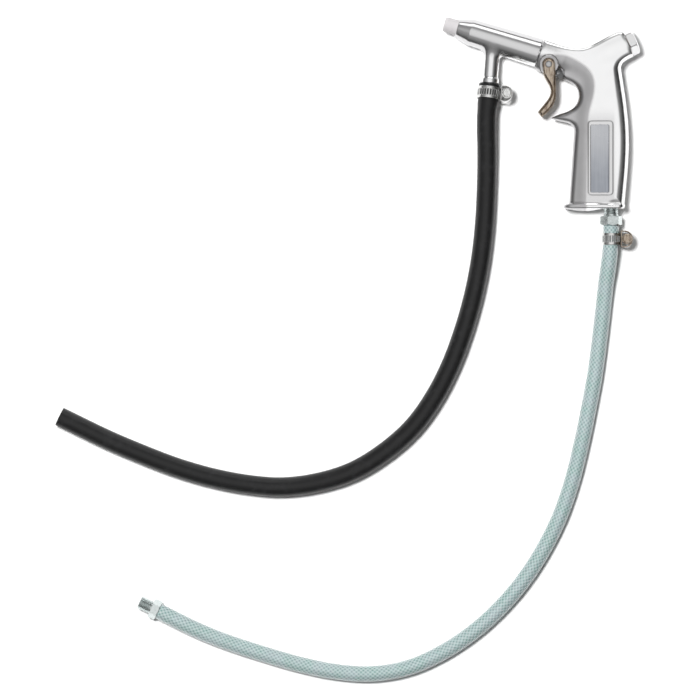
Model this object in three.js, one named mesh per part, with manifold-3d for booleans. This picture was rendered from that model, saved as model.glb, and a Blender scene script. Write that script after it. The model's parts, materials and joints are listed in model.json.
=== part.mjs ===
// A suction-fed blast gun lying on its side, with its air hose and its suction hose.
// Millimetres. +X runs to the rear of the gun, +Y from the grip's foot to the head, +Z up.
// The gun is drawn round its own middle plane, in coordinates that start near the point
// where the valve's axis meets the barrel's. The last lines lift it onto the table and move
// the middle of its footprint, taken without the hoses, to the origin.
import * as THREE from "three";
import { mergeVertices } from "three/addons/utils/BufferGeometryUtils.js";
import Module from "manifold-3d";

const wasm = await Module();
wasm.setup();

// ---------------------------------------------------------------- driving dimensions

const GAP = 0.3; // left between pieces that touch
const RIM = 28; // sides of a large round piece
const SMALL_RIM = 16; // sides of a small one
const HALF_WIDTH = 14.5; // of the gun, so also the height of its middle plane
const FOOTPRINT = { x: -30.8, y: -68.2 }; // middle of the gun's footprint

// Barrel: a cast tube that ends in a cone, tilted up from the grip's square
const BARREL = { x: -33.1, y: 11.7, tilt: 17, rear: 14.4, front: 13.1, cone: 70.8, nose: 84.3, noseRadius: 9.1 };
const CHAMBER_RADIUS = 8;
const NOZZLE = { length: 40, stickOut: 13.2, root: 7.8, tip: 7.4, edge: 1.8, bore: 3, funnel: 6 };
const SPIGOT = { radius: 10, length: 11.5 }; // of the body, inside the barrel
const JET = { radius: 5, length: 55, tip: 3, bore: 1.4, hex: 7 };

// Suction stub: cast with the barrel, square to the hose that it carries
const STUB = { along: 47.6, heading: -94.2, radius: 8, collar: 9.1, collarAt: 39.3, collarWide: 4, barb: 7.6, bore: 5 };
const BARB_LENGTH = 20;

// Valve: one line from the hexagonal cap at the rear to the gland behind the trigger
const VALVE = { x: 53.9, y: 20.6, tilt: 23.5, housing: 12.6, chamber: 8, seatAt: 39, stem: 2, galleryRadius: 4 };
const CAP = { circum: 13.3, thick: 8.5, plug: 9.7, plugLength: 9, pocket: 5.5, turn: 12 };
const GLAND = { at: 70.2, bore: 4.6, hex: 5.2, head: 6.1, packing: 60.3 };
const SPRING = { wire: 0.65, radius: 4.2, turns: 8, from: -31.6, to: -4.1 };

// Trigger: a pressed channel that hangs on a pin through a lug of the body
const PIN = { x: -24, y: 0.5, radius: 2, ear: 6.4 };
const SHEET = 1.5;
const CHANNEL_HALF = 7.5;
const LUG = { half: 5.6, radius: 9.3 };

// Grip and air inlet
const GRIP = { foot: -141, flange: 4.3, inlet: 37.4 };
const INLET = { shank: 7.1, shankTop: -127, hexTop: -147.9, hexBottom: -157.1, circum: 10.95, bore: 2.8 };

// Hoses, and the pieces that hold them
const SUCTION = { radius: 9.5, stretched: 10.3, start: 43.9, cuff: 21 };
const AIR = { radius: 7.7, stretched: 7.9, start: INLET.hexBottom - GAP, barb: 4.4 };
const BAND = { width: 11.7, thick: 0.7 };
const HOUSING = { deep: 13.3, tall: 14, along: 16.2, bore: 3.6 };
const SCREW = { shank: 3.2, head: 4.7, headTall: 5.2 };
const SUPPLY = { x: -406.2, y: -535.5, z: -5.9, tilt: 154.5, thread: 6.58, threadLong: 12.8, hexLong: 7.8, circum: 9.8 };

// The hoses' centre lines, from the gun outwards, on the table once they have come down
const SUCTION_ROUTE = [
  [-84.4, -47, 0], [-84.6, -66, -0.6], [-84.2, -83, -2.4], [-84.2, -101, -4.1], [-84.6, -119, -4.9],
  [-86.4, -154, -4.9], [-90.4, -190, -4.9], [-97.4, -226, -4.9], [-107, -260, -4.9], [-119.6, -294, -4.9],
  [-136, -326, -4.9], [-157, -355, -4.9], [-184, -379, -4.9], [-215, -398, -4.9], [-249, -409, -4.9],
  [-285, -413.6, -4.9], [-320, -411, -4.9], [-356, -404, -4.9], [-390, -394, -4.9], [-424, -381, -4.9],
  [-457, -367, -4.9], [-482, -355, -4.9], [-503.5, -344.5, -4.9],
];
const AIR_ROUTE = [
  [37.2, -171, 0], [36.6, -181, -0.2], [34.9, -196, -1.6], [32.6, -213, -4.2], [30.8, -230, -6.2],
  [26.9, -265, -6.8], [22.2, -301, -6.8], [15.8, -336, -6.8], [8.6, -371, -6.8], [-0.4, -407, -6.8],
  [-12, -441, -6.8], [-27.6, -473, -6.8], [-46.6, -503, -6.8], [-70, -531, -6.8], [-97, -555.6, -6.8],
  [-127.6, -576, -6.8], [-160, -590.6, -6.8], [-196, -597, -6.8], [-232, -595, -6.8], [-267, -588, -6.8],
  [-302, -578, -6.8], [-336, -567, -6.8], [-360, -557.8, -6.4], [-380.3, -548.5, SUPPLY.z],
  [SUPPLY.x, SUPPLY.y, SUPPLY.z],
];

// ---------------------------------------------------------------- materials

const finish = (color, roughness, metalness) =>
  new THREE.MeshStandardMaterial({ color, roughness, metalness });
const castAluminium = finish(0xc9cccf, 0.3, 1);
const zincPlate = finish(0xb4bcc4, 0.28, 1);
const goldZinc = finish(0xc4a468, 0.35, 1);
const steel = finish(0xb9bcbf, 0.3, 1);
const brass = finish(0xc8a24a, 0.35, 1);
const ceramic = finish(0xdddadc, 0.7, 0);
const blackRubber = finish(0x262626, 0.6, 0);
const clearHose = finish(0xb5cfcc, 0.3, 0);
const fibre = finish(0x5a4030, 0.8, 0);

// ---------------------------------------------------------------- solids

// A closed geometry as a solid that can be joined and cut
function solidOf(geometry) {
  const plain = geometry.clone();
  plain.deleteAttribute("normal");
  plain.deleteAttribute("uv");
  const merged = mergeVertices(plain, 1e-4);
  const triangles = [];
  const corners = merged.index.array;
  for (let at = 0; at < corners.length; at += 3) {
    const [a, b, c] = corners.subarray(at, at + 3);
    if (a !== b && b !== c && c !== a) triangles.push(a, b, c);
  }
  const mesh = new wasm.Mesh({
    numProp: 3,
    vertProperties: merged.attributes.position.array,
    triVerts: Uint32Array.from(triangles),
  });
  return new wasm.Manifold(mesh);
}

function geometryOf(solid) {
  const mesh = solid.getMesh();
  const geometry = new THREE.BufferGeometry();
  geometry.setAttribute("position", new THREE.BufferAttribute(mesh.vertProperties, 3));
  geometry.setIndex(new THREE.BufferAttribute(mesh.triVerts, 1));
  geometry.computeVertexNormals();
  return geometry;
}

const radians = THREE.MathUtils.degToRad;

// A frame in the gun's middle plane whose +Y points along a heading, in degrees from +X
const frameAt = (x, y, heading) =>
  new THREE.Matrix4().makeRotationZ(radians(heading - 90)).setPosition(x, y, 0);

// A profile of [radius, height] pairs turned round +Y: it starts and ends on the axis
const turned = (profile, sides = RIM) =>
  new THREE.LatheGeometry(profile.map(([radius, height]) => new THREE.Vector2(radius, height)), sides);
const rod = (radius, from, to, sides = RIM) =>
  turned([[0, from], [radius, from], [radius, to], [0, to]], sides);
const ring = (inner, outer, from, to, sides = RIM) =>
  turned([[inner, from], [outer, from], [outer, to], [inner, to], [inner, from]], sides);

// A hexagonal bar along +Y, with its edges turned down to a cone at both ends
function hexagon(circumradius, from, to) {
  const bar = solidOf(rod(circumradius, from, to, 6));
  const flat = circumradius * Math.cos(Math.PI / 6);
  const turnedDown = (circumradius - flat) * 0.8;
  const cone = solidOf(turned([
    [0, from], [flat, from], [circumradius, from + turnedDown],
    [circumradius, to - turnedDown], [flat, to], [0, to],
  ]));
  return bar.intersect(cone);
}

// A side view drawn in X and Y, as thick as given, centred on the middle plane
function plate(shape, thickness, bevel = 0) {
  const geometry = new THREE.ExtrudeGeometry(shape, {
    depth: thickness - 2 * bevel, curveSegments: 6, bevelEnabled: bevel > 0,
    bevelThickness: bevel, bevelSize: bevel, bevelOffset: -bevel, bevelSegments: 2,
  });
  return geometry.translate(0, 0, bevel - thickness / 2);
}

const disc = (x, y, radius) => new THREE.Shape().absarc(x, y, radius, 0, 2 * Math.PI, false);

function moved(geometry, matrix) {
  return solidOf(geometry.clone().applyMatrix4(matrix));
}

function piece(name, shape, material) {
  const mesh = new THREE.Mesh(shape.isBufferGeometry ? shape : geometryOf(shape), material);
  mesh.name = name;
  return mesh;
}

// A group of pieces whose own frame is placed in the gun's
function assembly(matrix, ...pieces) {
  const group = new THREE.Group();
  group.applyMatrix4(matrix);
  group.add(...pieces);
  return group;
}

const barrelFrame = frameAt(BARREL.x, BARREL.y, 180 - BARREL.tilt);
const valveFrame = frameAt(VALVE.x, VALVE.y, VALVE.tilt);
const stubFoot = new THREE.Vector3(0, STUB.along, 0).applyMatrix4(barrelFrame);
const stubFrame = frameAt(stubFoot.x, stubFoot.y, STUB.heading);
const inletFrame = frameAt(GRIP.inlet, 0, 90);
const supplyFrame = frameAt(SUPPLY.x, SUPPLY.y, SUPPLY.tilt).setPosition(SUPPLY.x, SUPPLY.y, SUPPLY.z);

// ---------------------------------------------------------------- cast body

// The whole body from the side: saddle, cap seat, web notch, grip, foot and finger spur
function bodyOutline() {
  const outline = new THREE.Shape();
  outline.moveTo(-29, 24.9);
  outline.bezierCurveTo(-14, 20.2, -2, 16, 7, 16.8);
  outline.bezierCurveTo(19, 18, 28, 27.5, 44.6, 33.2);
  outline.lineTo(49, 32.2);
  outline.lineTo(58.6, 9.8);
  outline.quadraticCurveTo(46.5, 4.5, 47, -3.9);
  outline.bezierCurveTo(49.4, -22, 54.8, -50, 54.5, -78);
  outline.bezierCurveTo(54.3, -100, 51.5, -122, 50, -138.2);
  outline.lineTo(-3.6, -138.2);
  outline.lineTo(-3.2, -128);
  outline.lineTo(1.1, -66);
  outline.quadraticCurveTo(1.4, -58, -6, -56.6);
  outline.lineTo(-20.2, -53.3);
  outline.quadraticCurveTo(-21.6, -52.2, -20.2, -51.3);
  outline.lineTo(-12.3, -47.8);
  outline.bezierCurveTo(1, -45, 6.6, -37, 5.4, -28.2);
  outline.bezierCurveTo(4.6, -19.6, -1, -16.6, -15.7, -12.3);
  outline.lineTo(-31.4, -6.9);
  outline.lineTo(-38, -2.5);
  outline.closePath();
  return outline;
}

// The grip cut square across: flat leaning sides, thickest near the back, a round heel
function gripSection() {
  const section = new THREE.Shape();
  section.moveTo(-22, -6);
  section.lineTo(-6, -9);
  section.lineTo(4, -11.2);
  section.lineTo(38, -14.2);
  section.bezierCurveTo(50, -14.2, 55, -8, 55, 0);
  section.bezierCurveTo(55, 8, 50, 14.2, 38, 14.2);
  section.lineTo(4, 11.2);
  section.lineTo(-6, 9);
  section.lineTo(-22, 6);
  section.closePath();
  return section;
}

// The foot's lip, cut square across
function footShape() {
  const corner = 7;
  const [front, rear, half] = [-8.8, 50, HALF_WIDTH];
  const foot = new THREE.Shape();
  foot.moveTo(front + corner, -half);
  foot.lineTo(rear - corner, -half);
  foot.quadraticCurveTo(rear, -half, rear, -half + corner);
  foot.lineTo(rear, half - corner);
  foot.quadraticCurveTo(rear, half, rear - corner, half);
  foot.lineTo(front + corner, half);
  foot.quadraticCurveTo(front, half, front, half - corner);
  foot.lineTo(front, -half + corner);
  foot.quadraticCurveTo(front, -half, front + corner, -half);
  return foot;
}

// Extrudes a section drawn in X and Z along -Y, from a height downwards
function dropped(section, top, length) {
  const geometry = new THREE.ExtrudeGeometry(section, { depth: length, curveSegments: 6, bevelEnabled: false });
  return geometry.rotateX(Math.PI / 2).translate(0, top, 0);
}

function bodyShell() {
  const side = solidOf(plate(bodyOutline(), 40));
  const core = solidOf(plate(bodyOutline(), 18));
  const grip = side.intersect(solidOf(dropped(gripSection(), -12, 128)));
  const foot = solidOf(dropped(footShape(), GRIP.foot + GRIP.flange, GRIP.flange));
  const head = moved(turned([
    [0, -46], [9, -44.5], [13, -40], [BARREL.rear - 0.1, -33], [BARREL.rear - 0.1, -GAP], [0, -GAP],
  ]), barrelFrame);
  const housing = moved(turned([
    [0, -62], [8, -60], [11, -52], [VALVE.housing, -42], [VALVE.housing, 0], [0, 0],
  ]), valveFrame);
  const spigot = moved(rod(SPIGOT.radius, -GAP - 1, SPIGOT.length), barrelFrame);
  const pastSeam = moved(rod(30, -GAP, 40), barrelFrame);
  const pastCap = moved(rod(30, 0, 40), valveFrame);
  const castings = core.add(grip).add(foot).add(head).add(housing);
  return castings.subtract(pastSeam).subtract(pastCap).add(spigot);
}

// Where the trigger's ears, its channel and the gland stand clear of the casting
function triggerRoom() {
  const earRoom = new THREE.Shape();
  earRoom.absarc(PIN.x, PIN.y, 9, 0, Math.PI, false);
  earRoom.lineTo(-31.4, -30);
  earRoom.lineTo(-9, -30);
  earRoom.lineTo(-9, -4);
  earRoom.closePath();
  const channelRoom = new THREE.Shape();
  channelRoom.moveTo(-31.6, -6);
  channelRoom.lineTo(-31.6, -30);
  channelRoom.lineTo(-6, -30);
  channelRoom.lineTo(-10.4, -15);
  channelRoom.lineTo(-9, -6);
  channelRoom.closePath();
  const glandRoom = moved(
    new THREE.BoxGeometry(14, 40, 60).translate(-0.6, -GLAND.at - 20, 0), valveFrame);
  const nutRoom = moved(rod(GLAND.hex + 2 * GAP, -GLAND.at - GLAND.head - 2, -GLAND.at), valveFrame);
  const lug = solidOf(plate(disc(PIN.x, PIN.y, LUG.radius), 2 * LUG.half)).subtract(nutRoom);
  const sides = solidOf(plate(earRoom, 60)).subtract(solidOf(plate(disc(0, 0, 90), 2 * LUG.half)));
  const middle = solidOf(plate(channelRoom, 60)).subtract(lug);
  return sides.add(middle).add(glandRoom.subtract(lug)).add(nutRoom);
}

// Air ways: up the grip, through the valve and out along the barrel's axis
function bodyHollows() {
  const inletSocket = moved(rod(INLET.shank + GAP, GRIP.foot - 2, -124.6, RIM), inletFrame);
  const riser = moved(rod(4, -126, 12, SMALL_RIM), inletFrame);
  const chamber = moved(turned([
    [0, 1], [10.2, 1], [10.2, -10.4], [VALVE.chamber, -10.6], [VALVE.chamber, -VALVE.seatAt - 3.6],
    [VALVE.galleryRadius, -VALVE.seatAt - 3.8], [VALVE.galleryRadius, -60], [GLAND.bore, -60.2],
    [GLAND.bore, -GLAND.at - 2], [0, -GLAND.at - 2],
  ].reverse()), valveFrame);
  const sealSeat = moved(ring(9, 11.4, -1.4, 1), valveFrame);
  const outlet = moved(rod(3, -41, -2, SMALL_RIM), barrelFrame);
  const jetSocket = moved(rod(JET.radius + GAP, -6, SPIGOT.length + 1), barrelFrame);
  const pinHole = solidOf(plate(disc(PIN.x, PIN.y, PIN.radius + GAP), 30));
  return [inletSocket, riser, chamber, sealSeat, outlet, jetSocket, pinHole];
}

// The raised frame round the sunk flat on each side of the grip
function gripPanels() {
  const panel = new THREE.Shape();
  panel.moveTo(17.2, -59.4);
  panel.lineTo(34, -59.4);
  panel.lineTo(34, -125);
  panel.lineTo(20.5, -125);
  panel.quadraticCurveTo(17.2, -125, 17.2, -121.6);
  panel.closePath();
  const sunk = (height) => solidOf(plate(panel, 3).translate(0, 0, height));
  return sunk(13.9).add(sunk(-13.9));
}

function gunBody() {
  let body = bodyShell().subtract(triggerRoom()).subtract(gripPanels());
  for (const hollow of bodyHollows()) body = body.subtract(hollow);
  return piece("gun_body", body, castAluminium);
}

// ---------------------------------------------------------------- barrel, nozzle and jet

function mixingBarrel() {
  const tube = solidOf(turned([
    [0, 0], [BARREL.rear, 0], [BARREL.front, BARREL.cone], [BARREL.noseRadius, BARREL.nose], [0, BARREL.nose],
  ]));
  const toBarrel = barrelFrame.clone().invert().multiply(stubFrame);
  const barbEnd = SUCTION.start + BARB_LENGTH;
  const stub = moved(turned([
    [0, 4], [STUB.radius, 4], [STUB.radius, STUB.collarAt - 1.4], [STUB.collar, STUB.collarAt],
    [STUB.collar, STUB.collarAt + STUB.collarWide], [STUB.barb - 0.6, STUB.collarAt + STUB.collarWide],
    [STUB.barb - 0.6, barbEnd - 14], [STUB.barb, barbEnd - 13], [STUB.barb - 0.6, barbEnd - 7],
    [STUB.barb, barbEnd - 6], [STUB.barb - 1, barbEnd], [0, barbEnd],
  ]), toBarrel);
  const fillet = moved(turned([[0, 8], [11.5, 8], [9.4, 15.5], [STUB.radius, 19], [0, 19]]), toBarrel);
  const bore = solidOf(turned([
    [0, -1], [SPIGOT.radius + GAP, -1], [SPIGOT.radius + GAP, SPIGOT.length + 2],
    [CHAMBER_RADIUS, SPIGOT.length + 2.2], [CHAMBER_RADIUS, 52], [NOZZLE.funnel, 54],
    [NOZZLE.funnel, 57.2], [NOZZLE.root + GAP, 57.4], [NOZZLE.root + GAP, BARREL.nose + 1],
    [0, BARREL.nose + 1],
  ]));
  const suctionBore = moved(rod(STUB.bore, 0, barbEnd + 1, SMALL_RIM), toBarrel);
  const barrel = tube.add(stub).add(fillet).subtract(bore).subtract(suctionBore);
  return piece("mixing_barrel", barrel, castAluminium);
}

const NOZZLE_END = BARREL.nose + NOZZLE.stickOut;
const NOZZLE_START = NOZZLE_END - NOZZLE.length + 0.2;
const O_RING_AT = NOZZLE_START + 8;

function ceramicNozzle() {
  const profile = [
    [NOZZLE.funnel - 0.6, NOZZLE_START], [NOZZLE.root, NOZZLE_START],
    [NOZZLE.root, O_RING_AT - 1.4], [NOZZLE.root - 1.6, O_RING_AT - 1.4],
    [NOZZLE.root - 1.6, O_RING_AT + 1.4], [NOZZLE.root, O_RING_AT + 1.4],
    [NOZZLE.root, BARREL.nose], [NOZZLE.tip, NOZZLE_END - NOZZLE.edge],
    [NOZZLE.tip - NOZZLE.edge * 0.4, NOZZLE_END - NOZZLE.edge * 0.4], [NOZZLE.tip - NOZZLE.edge, NOZZLE_END],
    [NOZZLE.bore, NOZZLE_END], [NOZZLE.bore, NOZZLE_START + 12], [NOZZLE.funnel - 0.6, NOZZLE_START],
  ];
  return piece("ceramic_nozzle", turned(profile), ceramic);
}

// A ring of round section, for the seals
function roundRing(radius, wire, at) {
  const torus = new THREE.TorusGeometry(radius, wire, 8, SMALL_RIM);
  return torus.rotateX(Math.PI / 2).translate(0, at, 0);
}

function airJet() {
  const tube = solidOf(turned([
    [0, -5.6], [JET.radius, -5.6], [JET.radius, SPIGOT.length], [JET.radius - 0.4, 18],
    [JET.radius - 0.6, JET.length - 20], [JET.tip, JET.length - 7], [JET.tip - 0.5, JET.length - 7.4 + 0.6],
    [0, JET.length - 7.4 + 0.6],
  ], SMALL_RIM));
  const hex = hexagon(JET.hex, SPIGOT.length + GAP + 1.4, SPIGOT.length + 6.4);
  const bore = solidOf(turned([[0, -7], [2.4, -7], [2.4, 30], [JET.bore, 34], [JET.bore, JET.length], [0, JET.length]],
    SMALL_RIM));
  return piece("air_jet", tube.add(hex).subtract(bore), steel);
}

function barrelPieces() {
  const jetWasher = ring(JET.radius + GAP, 7.4, SPIGOT.length + GAP, SPIGOT.length + 1.4, SMALL_RIM);
  return assembly(barrelFrame,
    mixingBarrel(), ceramicNozzle(), airJet(),
    piece("nozzle_o_ring", roundRing(NOZZLE.root - 0.65, 0.62, O_RING_AT), blackRubber),
    piece("jet_washer", jetWasher, fibre));
}

// ---------------------------------------------------------------- valve

function rearCap() {
  const head = hexagon(CAP.circum, GAP + 0.6, CAP.thick);
  const turn = new THREE.Matrix4().makeRotationY(radians(CAP.turn));
  const plug = solidOf(rod(CAP.plug, -CAP.plugLength, 1.4));
  const pocket = solidOf(rod(CAP.pocket, -CAP.plugLength - 1, -3));
  const cap = moved(geometryOf(head), turn).add(plug).subtract(pocket);
  return piece("rear_cap", cap, castAluminium);
}

// The stem runs from its round nose behind the trigger to the spring inside the chamber
function valveStem() {
  return piece("valve_stem", turned([
    [0, -86.5], [0.9, -86.3], [1.7, -85.5], [VALVE.stem, -84.4], [VALVE.stem, -31], [0, -31],
  ], SMALL_RIM), steel);
}

// A wire wound round +Y, its ends closed by flat discs
class Coil extends THREE.Curve {
  getPoint(t, target = new THREE.Vector3()) {
    const angle = t * SPRING.turns * 2 * Math.PI;
    const height = THREE.MathUtils.lerp(SPRING.from, SPRING.to, t);
    return target.set(SPRING.radius * Math.cos(angle), height, SPRING.radius * Math.sin(angle));
  }
}

function valveSpring() {
  const wire = new THREE.Shape().absarc(0, 0, SPRING.wire, 0, 2 * Math.PI, false);
  const coil = new THREE.ExtrudeGeometry(wire, { steps: SPRING.turns * 12, curveSegments: 3, extrudePath: new Coil() });
  return piece("valve_spring", solidOf(coil), steel);
}

function glandNut() {
  const head = hexagon(GLAND.hex, -GLAND.at - GLAND.head, -GLAND.at);
  const shank = solidOf(rod(GLAND.bore - GAP, -GLAND.at - 1, -65, SMALL_RIM));
  const hole = solidOf(rod(VALVE.stem + GAP, -80, -60, SMALL_RIM));
  return piece("gland_nut", head.add(shank).subtract(hole), steel);
}

function valvePieces() {
  const seat = -VALVE.seatAt;
  const stemHole = VALVE.stem + GAP;
  return assembly(valveFrame,
    rearCap(), valveStem(), valveSpring(), glandNut(),
    piece("rear_cap_seal", ring(10.2, 11.1, -1.1, GAP), fibre),
    piece("valve_seat", ring(3.6, VALVE.chamber - GAP, seat - 3.3, seat), brass),
    piece("valve_disc", ring(stemHole, 6.2, seat + 2.4, seat + 6.4, SMALL_RIM), brass),
    piece("valve_face_seal", ring(stemHole, 6, seat + GAP, seat + 2.1, SMALL_RIM), blackRubber),
    piece("gland_packing", ring(stemHole, GLAND.bore - GAP, -64.7, -GLAND.packing - 0.2, SMALL_RIM), fibre));
}

// ---------------------------------------------------------------- trigger

function triggerOutline(wall) {
  const outline = new THREE.Shape();
  outline.moveTo(PIN.x - PIN.ear + wall, PIN.y + 20 * Math.sign(wall));
  outline.lineTo(-28.8 + wall, -9.6);
  outline.bezierCurveTo(-28.2 + wall, -14, -21.8 + wall, -20, -21.8 + wall, -25.7);
  outline.bezierCurveTo(-21.8 + wall, -32, -26.6 + wall, -36.3, -34.6 + 2 * wall, -46.2 + wall);
  if (wall > 0) {
    outline.lineTo(-30.3, -51.4 + 1.5 * wall);
    outline.lineTo(20, -51.4 + 1.5 * wall);
    outline.lineTo(20, PIN.y + 20);
    outline.closePath();
    return outline;
  }
  outline.lineTo(-30.6, -51.3);
  outline.bezierCurveTo(-22, -45, -16.9, -38, -16.8, -30.1);
  outline.lineTo(-17, -17.5);
  outline.bezierCurveTo(-17, -10, -18.2, -4, PIN.x + PIN.ear, PIN.y);
  outline.absarc(PIN.x, PIN.y, PIN.ear, 0, Math.PI, false);
  outline.closePath();
  return outline;
}

function triggerLever() {
  const block = solidOf(plate(triggerOutline(0), 2 * CHANNEL_HALF, 0.4));
  const channel = solidOf(plate(triggerOutline(SHEET), 2 * (CHANNEL_HALF - SHEET)));
  const top = moved(new THREE.BoxGeometry(20, 20, 2 * (CHANNEL_HALF - SHEET)),
    new THREE.Matrix4().makeTranslation(PIN.x, PIN.y + 1.2, 0));
  const hole = solidOf(plate(disc(PIN.x, PIN.y, PIN.radius + GAP), 20));
  return piece("trigger", block.subtract(channel).subtract(top).subtract(hole), goldZinc);
}

// The pin has a head on the upper side and a clip in a groove on the lower
function triggerPinPieces() {
  const head = CHANNEL_HALF + GAP;
  const shank = turned([
    [0, -9.4], [1.7, -9.4], [PIN.radius, -9], [PIN.radius, -8.8], [1.4, -8.8], [1.4, -7.8], [PIN.radius, -7.8],
    [PIN.radius, head], [3.2, head], [3.2, head + 0.9], [2.2, head + 1.5], [0, head + 1.5],
  ], SMALL_RIM);
  const upright = new THREE.Matrix4().makeRotationX(Math.PI / 2).setPosition(PIN.x, PIN.y, 0);
  const clip = ring(1.7, 3.4, -8.7, -7.9, SMALL_RIM);
  return assembly(upright, piece("trigger_pin", shank, steel), piece("trigger_pin_clip", clip, steel));
}

// ---------------------------------------------------------------- hose fittings

// A barbed spigot below a fitting: saw-tooth rings along -Y from a height downwards
function barbs(radius, top, length, teeth) {
  const pitch = length / teeth;
  const profile = [[0, top - length]];
  for (let tooth = teeth; tooth > 0; tooth -= 1) {
    profile.push([radius - 1, top - tooth * pitch], [radius, top - tooth * pitch + pitch * 0.8]);
    profile.push([radius - 1, top - tooth * pitch + pitch * 0.9]);
  }
  profile.push([radius - 1, top + 1], [0, top + 1]);
  return solidOf(turned(profile, SMALL_RIM));
}

function inletNipple() {
  const shank = solidOf(turned([
    [0, INLET.hexTop - 1], [INLET.shank, INLET.hexTop - 1], [INLET.shank, INLET.shankTop - 1],
    [INLET.shank - 1, INLET.shankTop], [0, INLET.shankTop],
  ]));
  const hex = hexagon(INLET.circum, INLET.hexBottom, INLET.hexTop);
  const bore = solidOf(rod(INLET.bore, INLET.hexBottom - 40, INLET.shankTop + 1, SMALL_RIM));
  const nipple = shank.add(hex).add(barbs(AIR.barb, INLET.hexBottom, 26, 4)).subtract(bore);
  return assembly(inletFrame,
    piece("inlet_nipple", nipple, zincPlate),
    piece("inlet_seal", ring(4.4, INLET.shank - 0.4, INLET.shankTop + GAP, -125, SMALL_RIM), fibre));
}

// The far end's fitting points out of the hose, with its thread for the air line
function supplyNipple() {
  const hexEnd = GAP + SUPPLY.hexLong;
  const end = hexEnd + SUPPLY.threadLong;
  const thread = solidOf(turned([
    [0, hexEnd - 1], [SUPPLY.thread, hexEnd - 1], [SUPPLY.thread, end - 0.8], [SUPPLY.thread - 0.8, end], [0, end],
  ]));
  const flatDown = new THREE.Matrix4().makeRotationY(Math.PI / 6);
  const hex = moved(geometryOf(hexagon(SUPPLY.circum, GAP, hexEnd)), flatDown);
  const bore = solidOf(rod(INLET.bore, -30, end + 1, SMALL_RIM));
  const nipple = thread.add(hex).add(barbs(AIR.barb, GAP, 24, 4)).subtract(bore);
  return assembly(supplyFrame, piece("supply_nipple", nipple, zincPlate));
}

// ---------------------------------------------------------------- hoses

function alongRoute(radius, points, steps) {
  const section = new THREE.Shape().absarc(0, 0, radius, 0, 2 * Math.PI, false);
  const route = new THREE.CatmullRomCurve3(points.map(([x, y, z]) => new THREE.Vector3(x, y, z)));
  return new THREE.ExtrudeGeometry(section, { steps, curveSegments: 5, extrudePath: route });
}

function suctionHose() {
  const cuff = moved(rod(SUCTION.stretched, SUCTION.start, SUCTION.start + SUCTION.cuff, SMALL_RIM), stubFrame);
  const start = new THREE.Vector3(0, SUCTION.start + SUCTION.cuff - 2, 0).applyMatrix4(stubFrame);
  const hose = solidOf(alongRoute(SUCTION.radius, [start.toArray(), ...SUCTION_ROUTE], 60));
  const bore = moved(rod(STUB.barb + GAP, SUCTION.start - 1, SUCTION.start + BARB_LENGTH + 0.6, SMALL_RIM), stubFrame);
  return piece("suction_hose", hose.add(cuff).subtract(bore), blackRubber);
}

function airHose() {
  const route = [[GRIP.inlet, AIR.start, 0], ...AIR_ROUTE];
  const hose = solidOf(alongRoute(AIR.radius, route, 72));
  const nearBore = moved(rod(AIR.barb + GAP, AIR.start - 26.4, AIR.start + 1, SMALL_RIM), inletFrame);
  const farBore = moved(rod(AIR.barb + GAP, -24.6, 1, SMALL_RIM), supplyFrame);
  return piece("air_hose", hose.subtract(nearBore).subtract(farBore), clearHose);
}

// ---------------------------------------------------------------- worm-drive clamps

// A clamp in a frame whose +Y is the hose's line. Its screw stands beside the band, on the
// side that `side` gives, and is reached from above. It may lean along the hose.
function clamp(name, frame, side, at, lean, hoseRadius, housingFinish) {
  const bandOuter = hoseRadius + GAP + BAND.thick;
  const band = ring(hoseRadius + GAP, bandOuter, at - BAND.width / 2, at + BAND.width / 2);
  const inner = bandOuter + GAP;
  const screwAt = inner + HOUSING.deep / 2 - 0.8;
  const leaned = new THREE.Matrix4().makeTranslation(0, at, 0)
    .multiply(new THREE.Matrix4().makeRotationX(radians(lean)));
  const outline = new THREE.Shape();
  const half = HOUSING.along / 2;
  outline.moveTo(side * inner, -half);
  outline.lineTo(side * (inner + 4), -half);
  outline.bezierCurveTo(side * (inner + HOUSING.deep + 1), -half,
    side * (inner + HOUSING.deep + 1), half, side * (inner + 4), half);
  outline.lineTo(side * inner, half);
  outline.closePath();
  const body = solidOf(plate(outline, HOUSING.tall, 0.8));
  const upright = new THREE.Matrix4().makeRotationX(Math.PI / 2).setPosition(side * screwAt, 0, 0);
  const bore = moved(rod(HOUSING.bore, -20, 20, SMALL_RIM), upright);
  const top = HOUSING.tall / 2 + GAP;
  const worm = solidOf(turned([
    [0, -HOUSING.tall / 2], [SCREW.shank - 0.6, -HOUSING.tall / 2], [SCREW.shank, -HOUSING.tall / 2 + 0.8],
    [SCREW.shank, top], [SCREW.head, top], [SCREW.head, top + 1], [0, top + 1],
  ], SMALL_RIM));
  const slot = solidOf(new THREE.BoxGeometry(12, 1.6, 1.1).translate(0, top + SCREW.headTall - 0.6, 0));
  const screw = worm.add(hexagon(SCREW.head - 0.3, top + 0.5, top + SCREW.headTall)).subtract(slot);
  return assembly(frame,
    piece(`${name}_clamp_band`, band, steel),
    assembly(leaned,
      piece(`${name}_clamp_housing`, body.subtract(bore), housingFinish),
      piece(`${name}_clamp_screw`, moved(geometryOf(screw), upright), housingFinish)));
}

// ---------------------------------------------------------------- the whole gun

const gun = new THREE.Group();
gun.add(gunBody(), barrelPieces(), valvePieces(), inletNipple(), triggerLever(), triggerPinPieces());

const hoses = new THREE.Group();
hoses.add(
  suctionHose(), airHose(), supplyNipple(),
  clamp("suction", stubFrame, -1, SUCTION.start + 9.7, 7, SUCTION.stretched, steel),
  clamp("air", inletFrame, 1, -170.5, 0, AIR.stretched, goldZinc));

const wholeGun = new THREE.Group();
wholeGun.add(gun, hoses);

wholeGun.position.set(-FOOTPRINT.x, -FOOTPRINT.y, HALF_WIDTH);

export default wholeGun;
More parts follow.
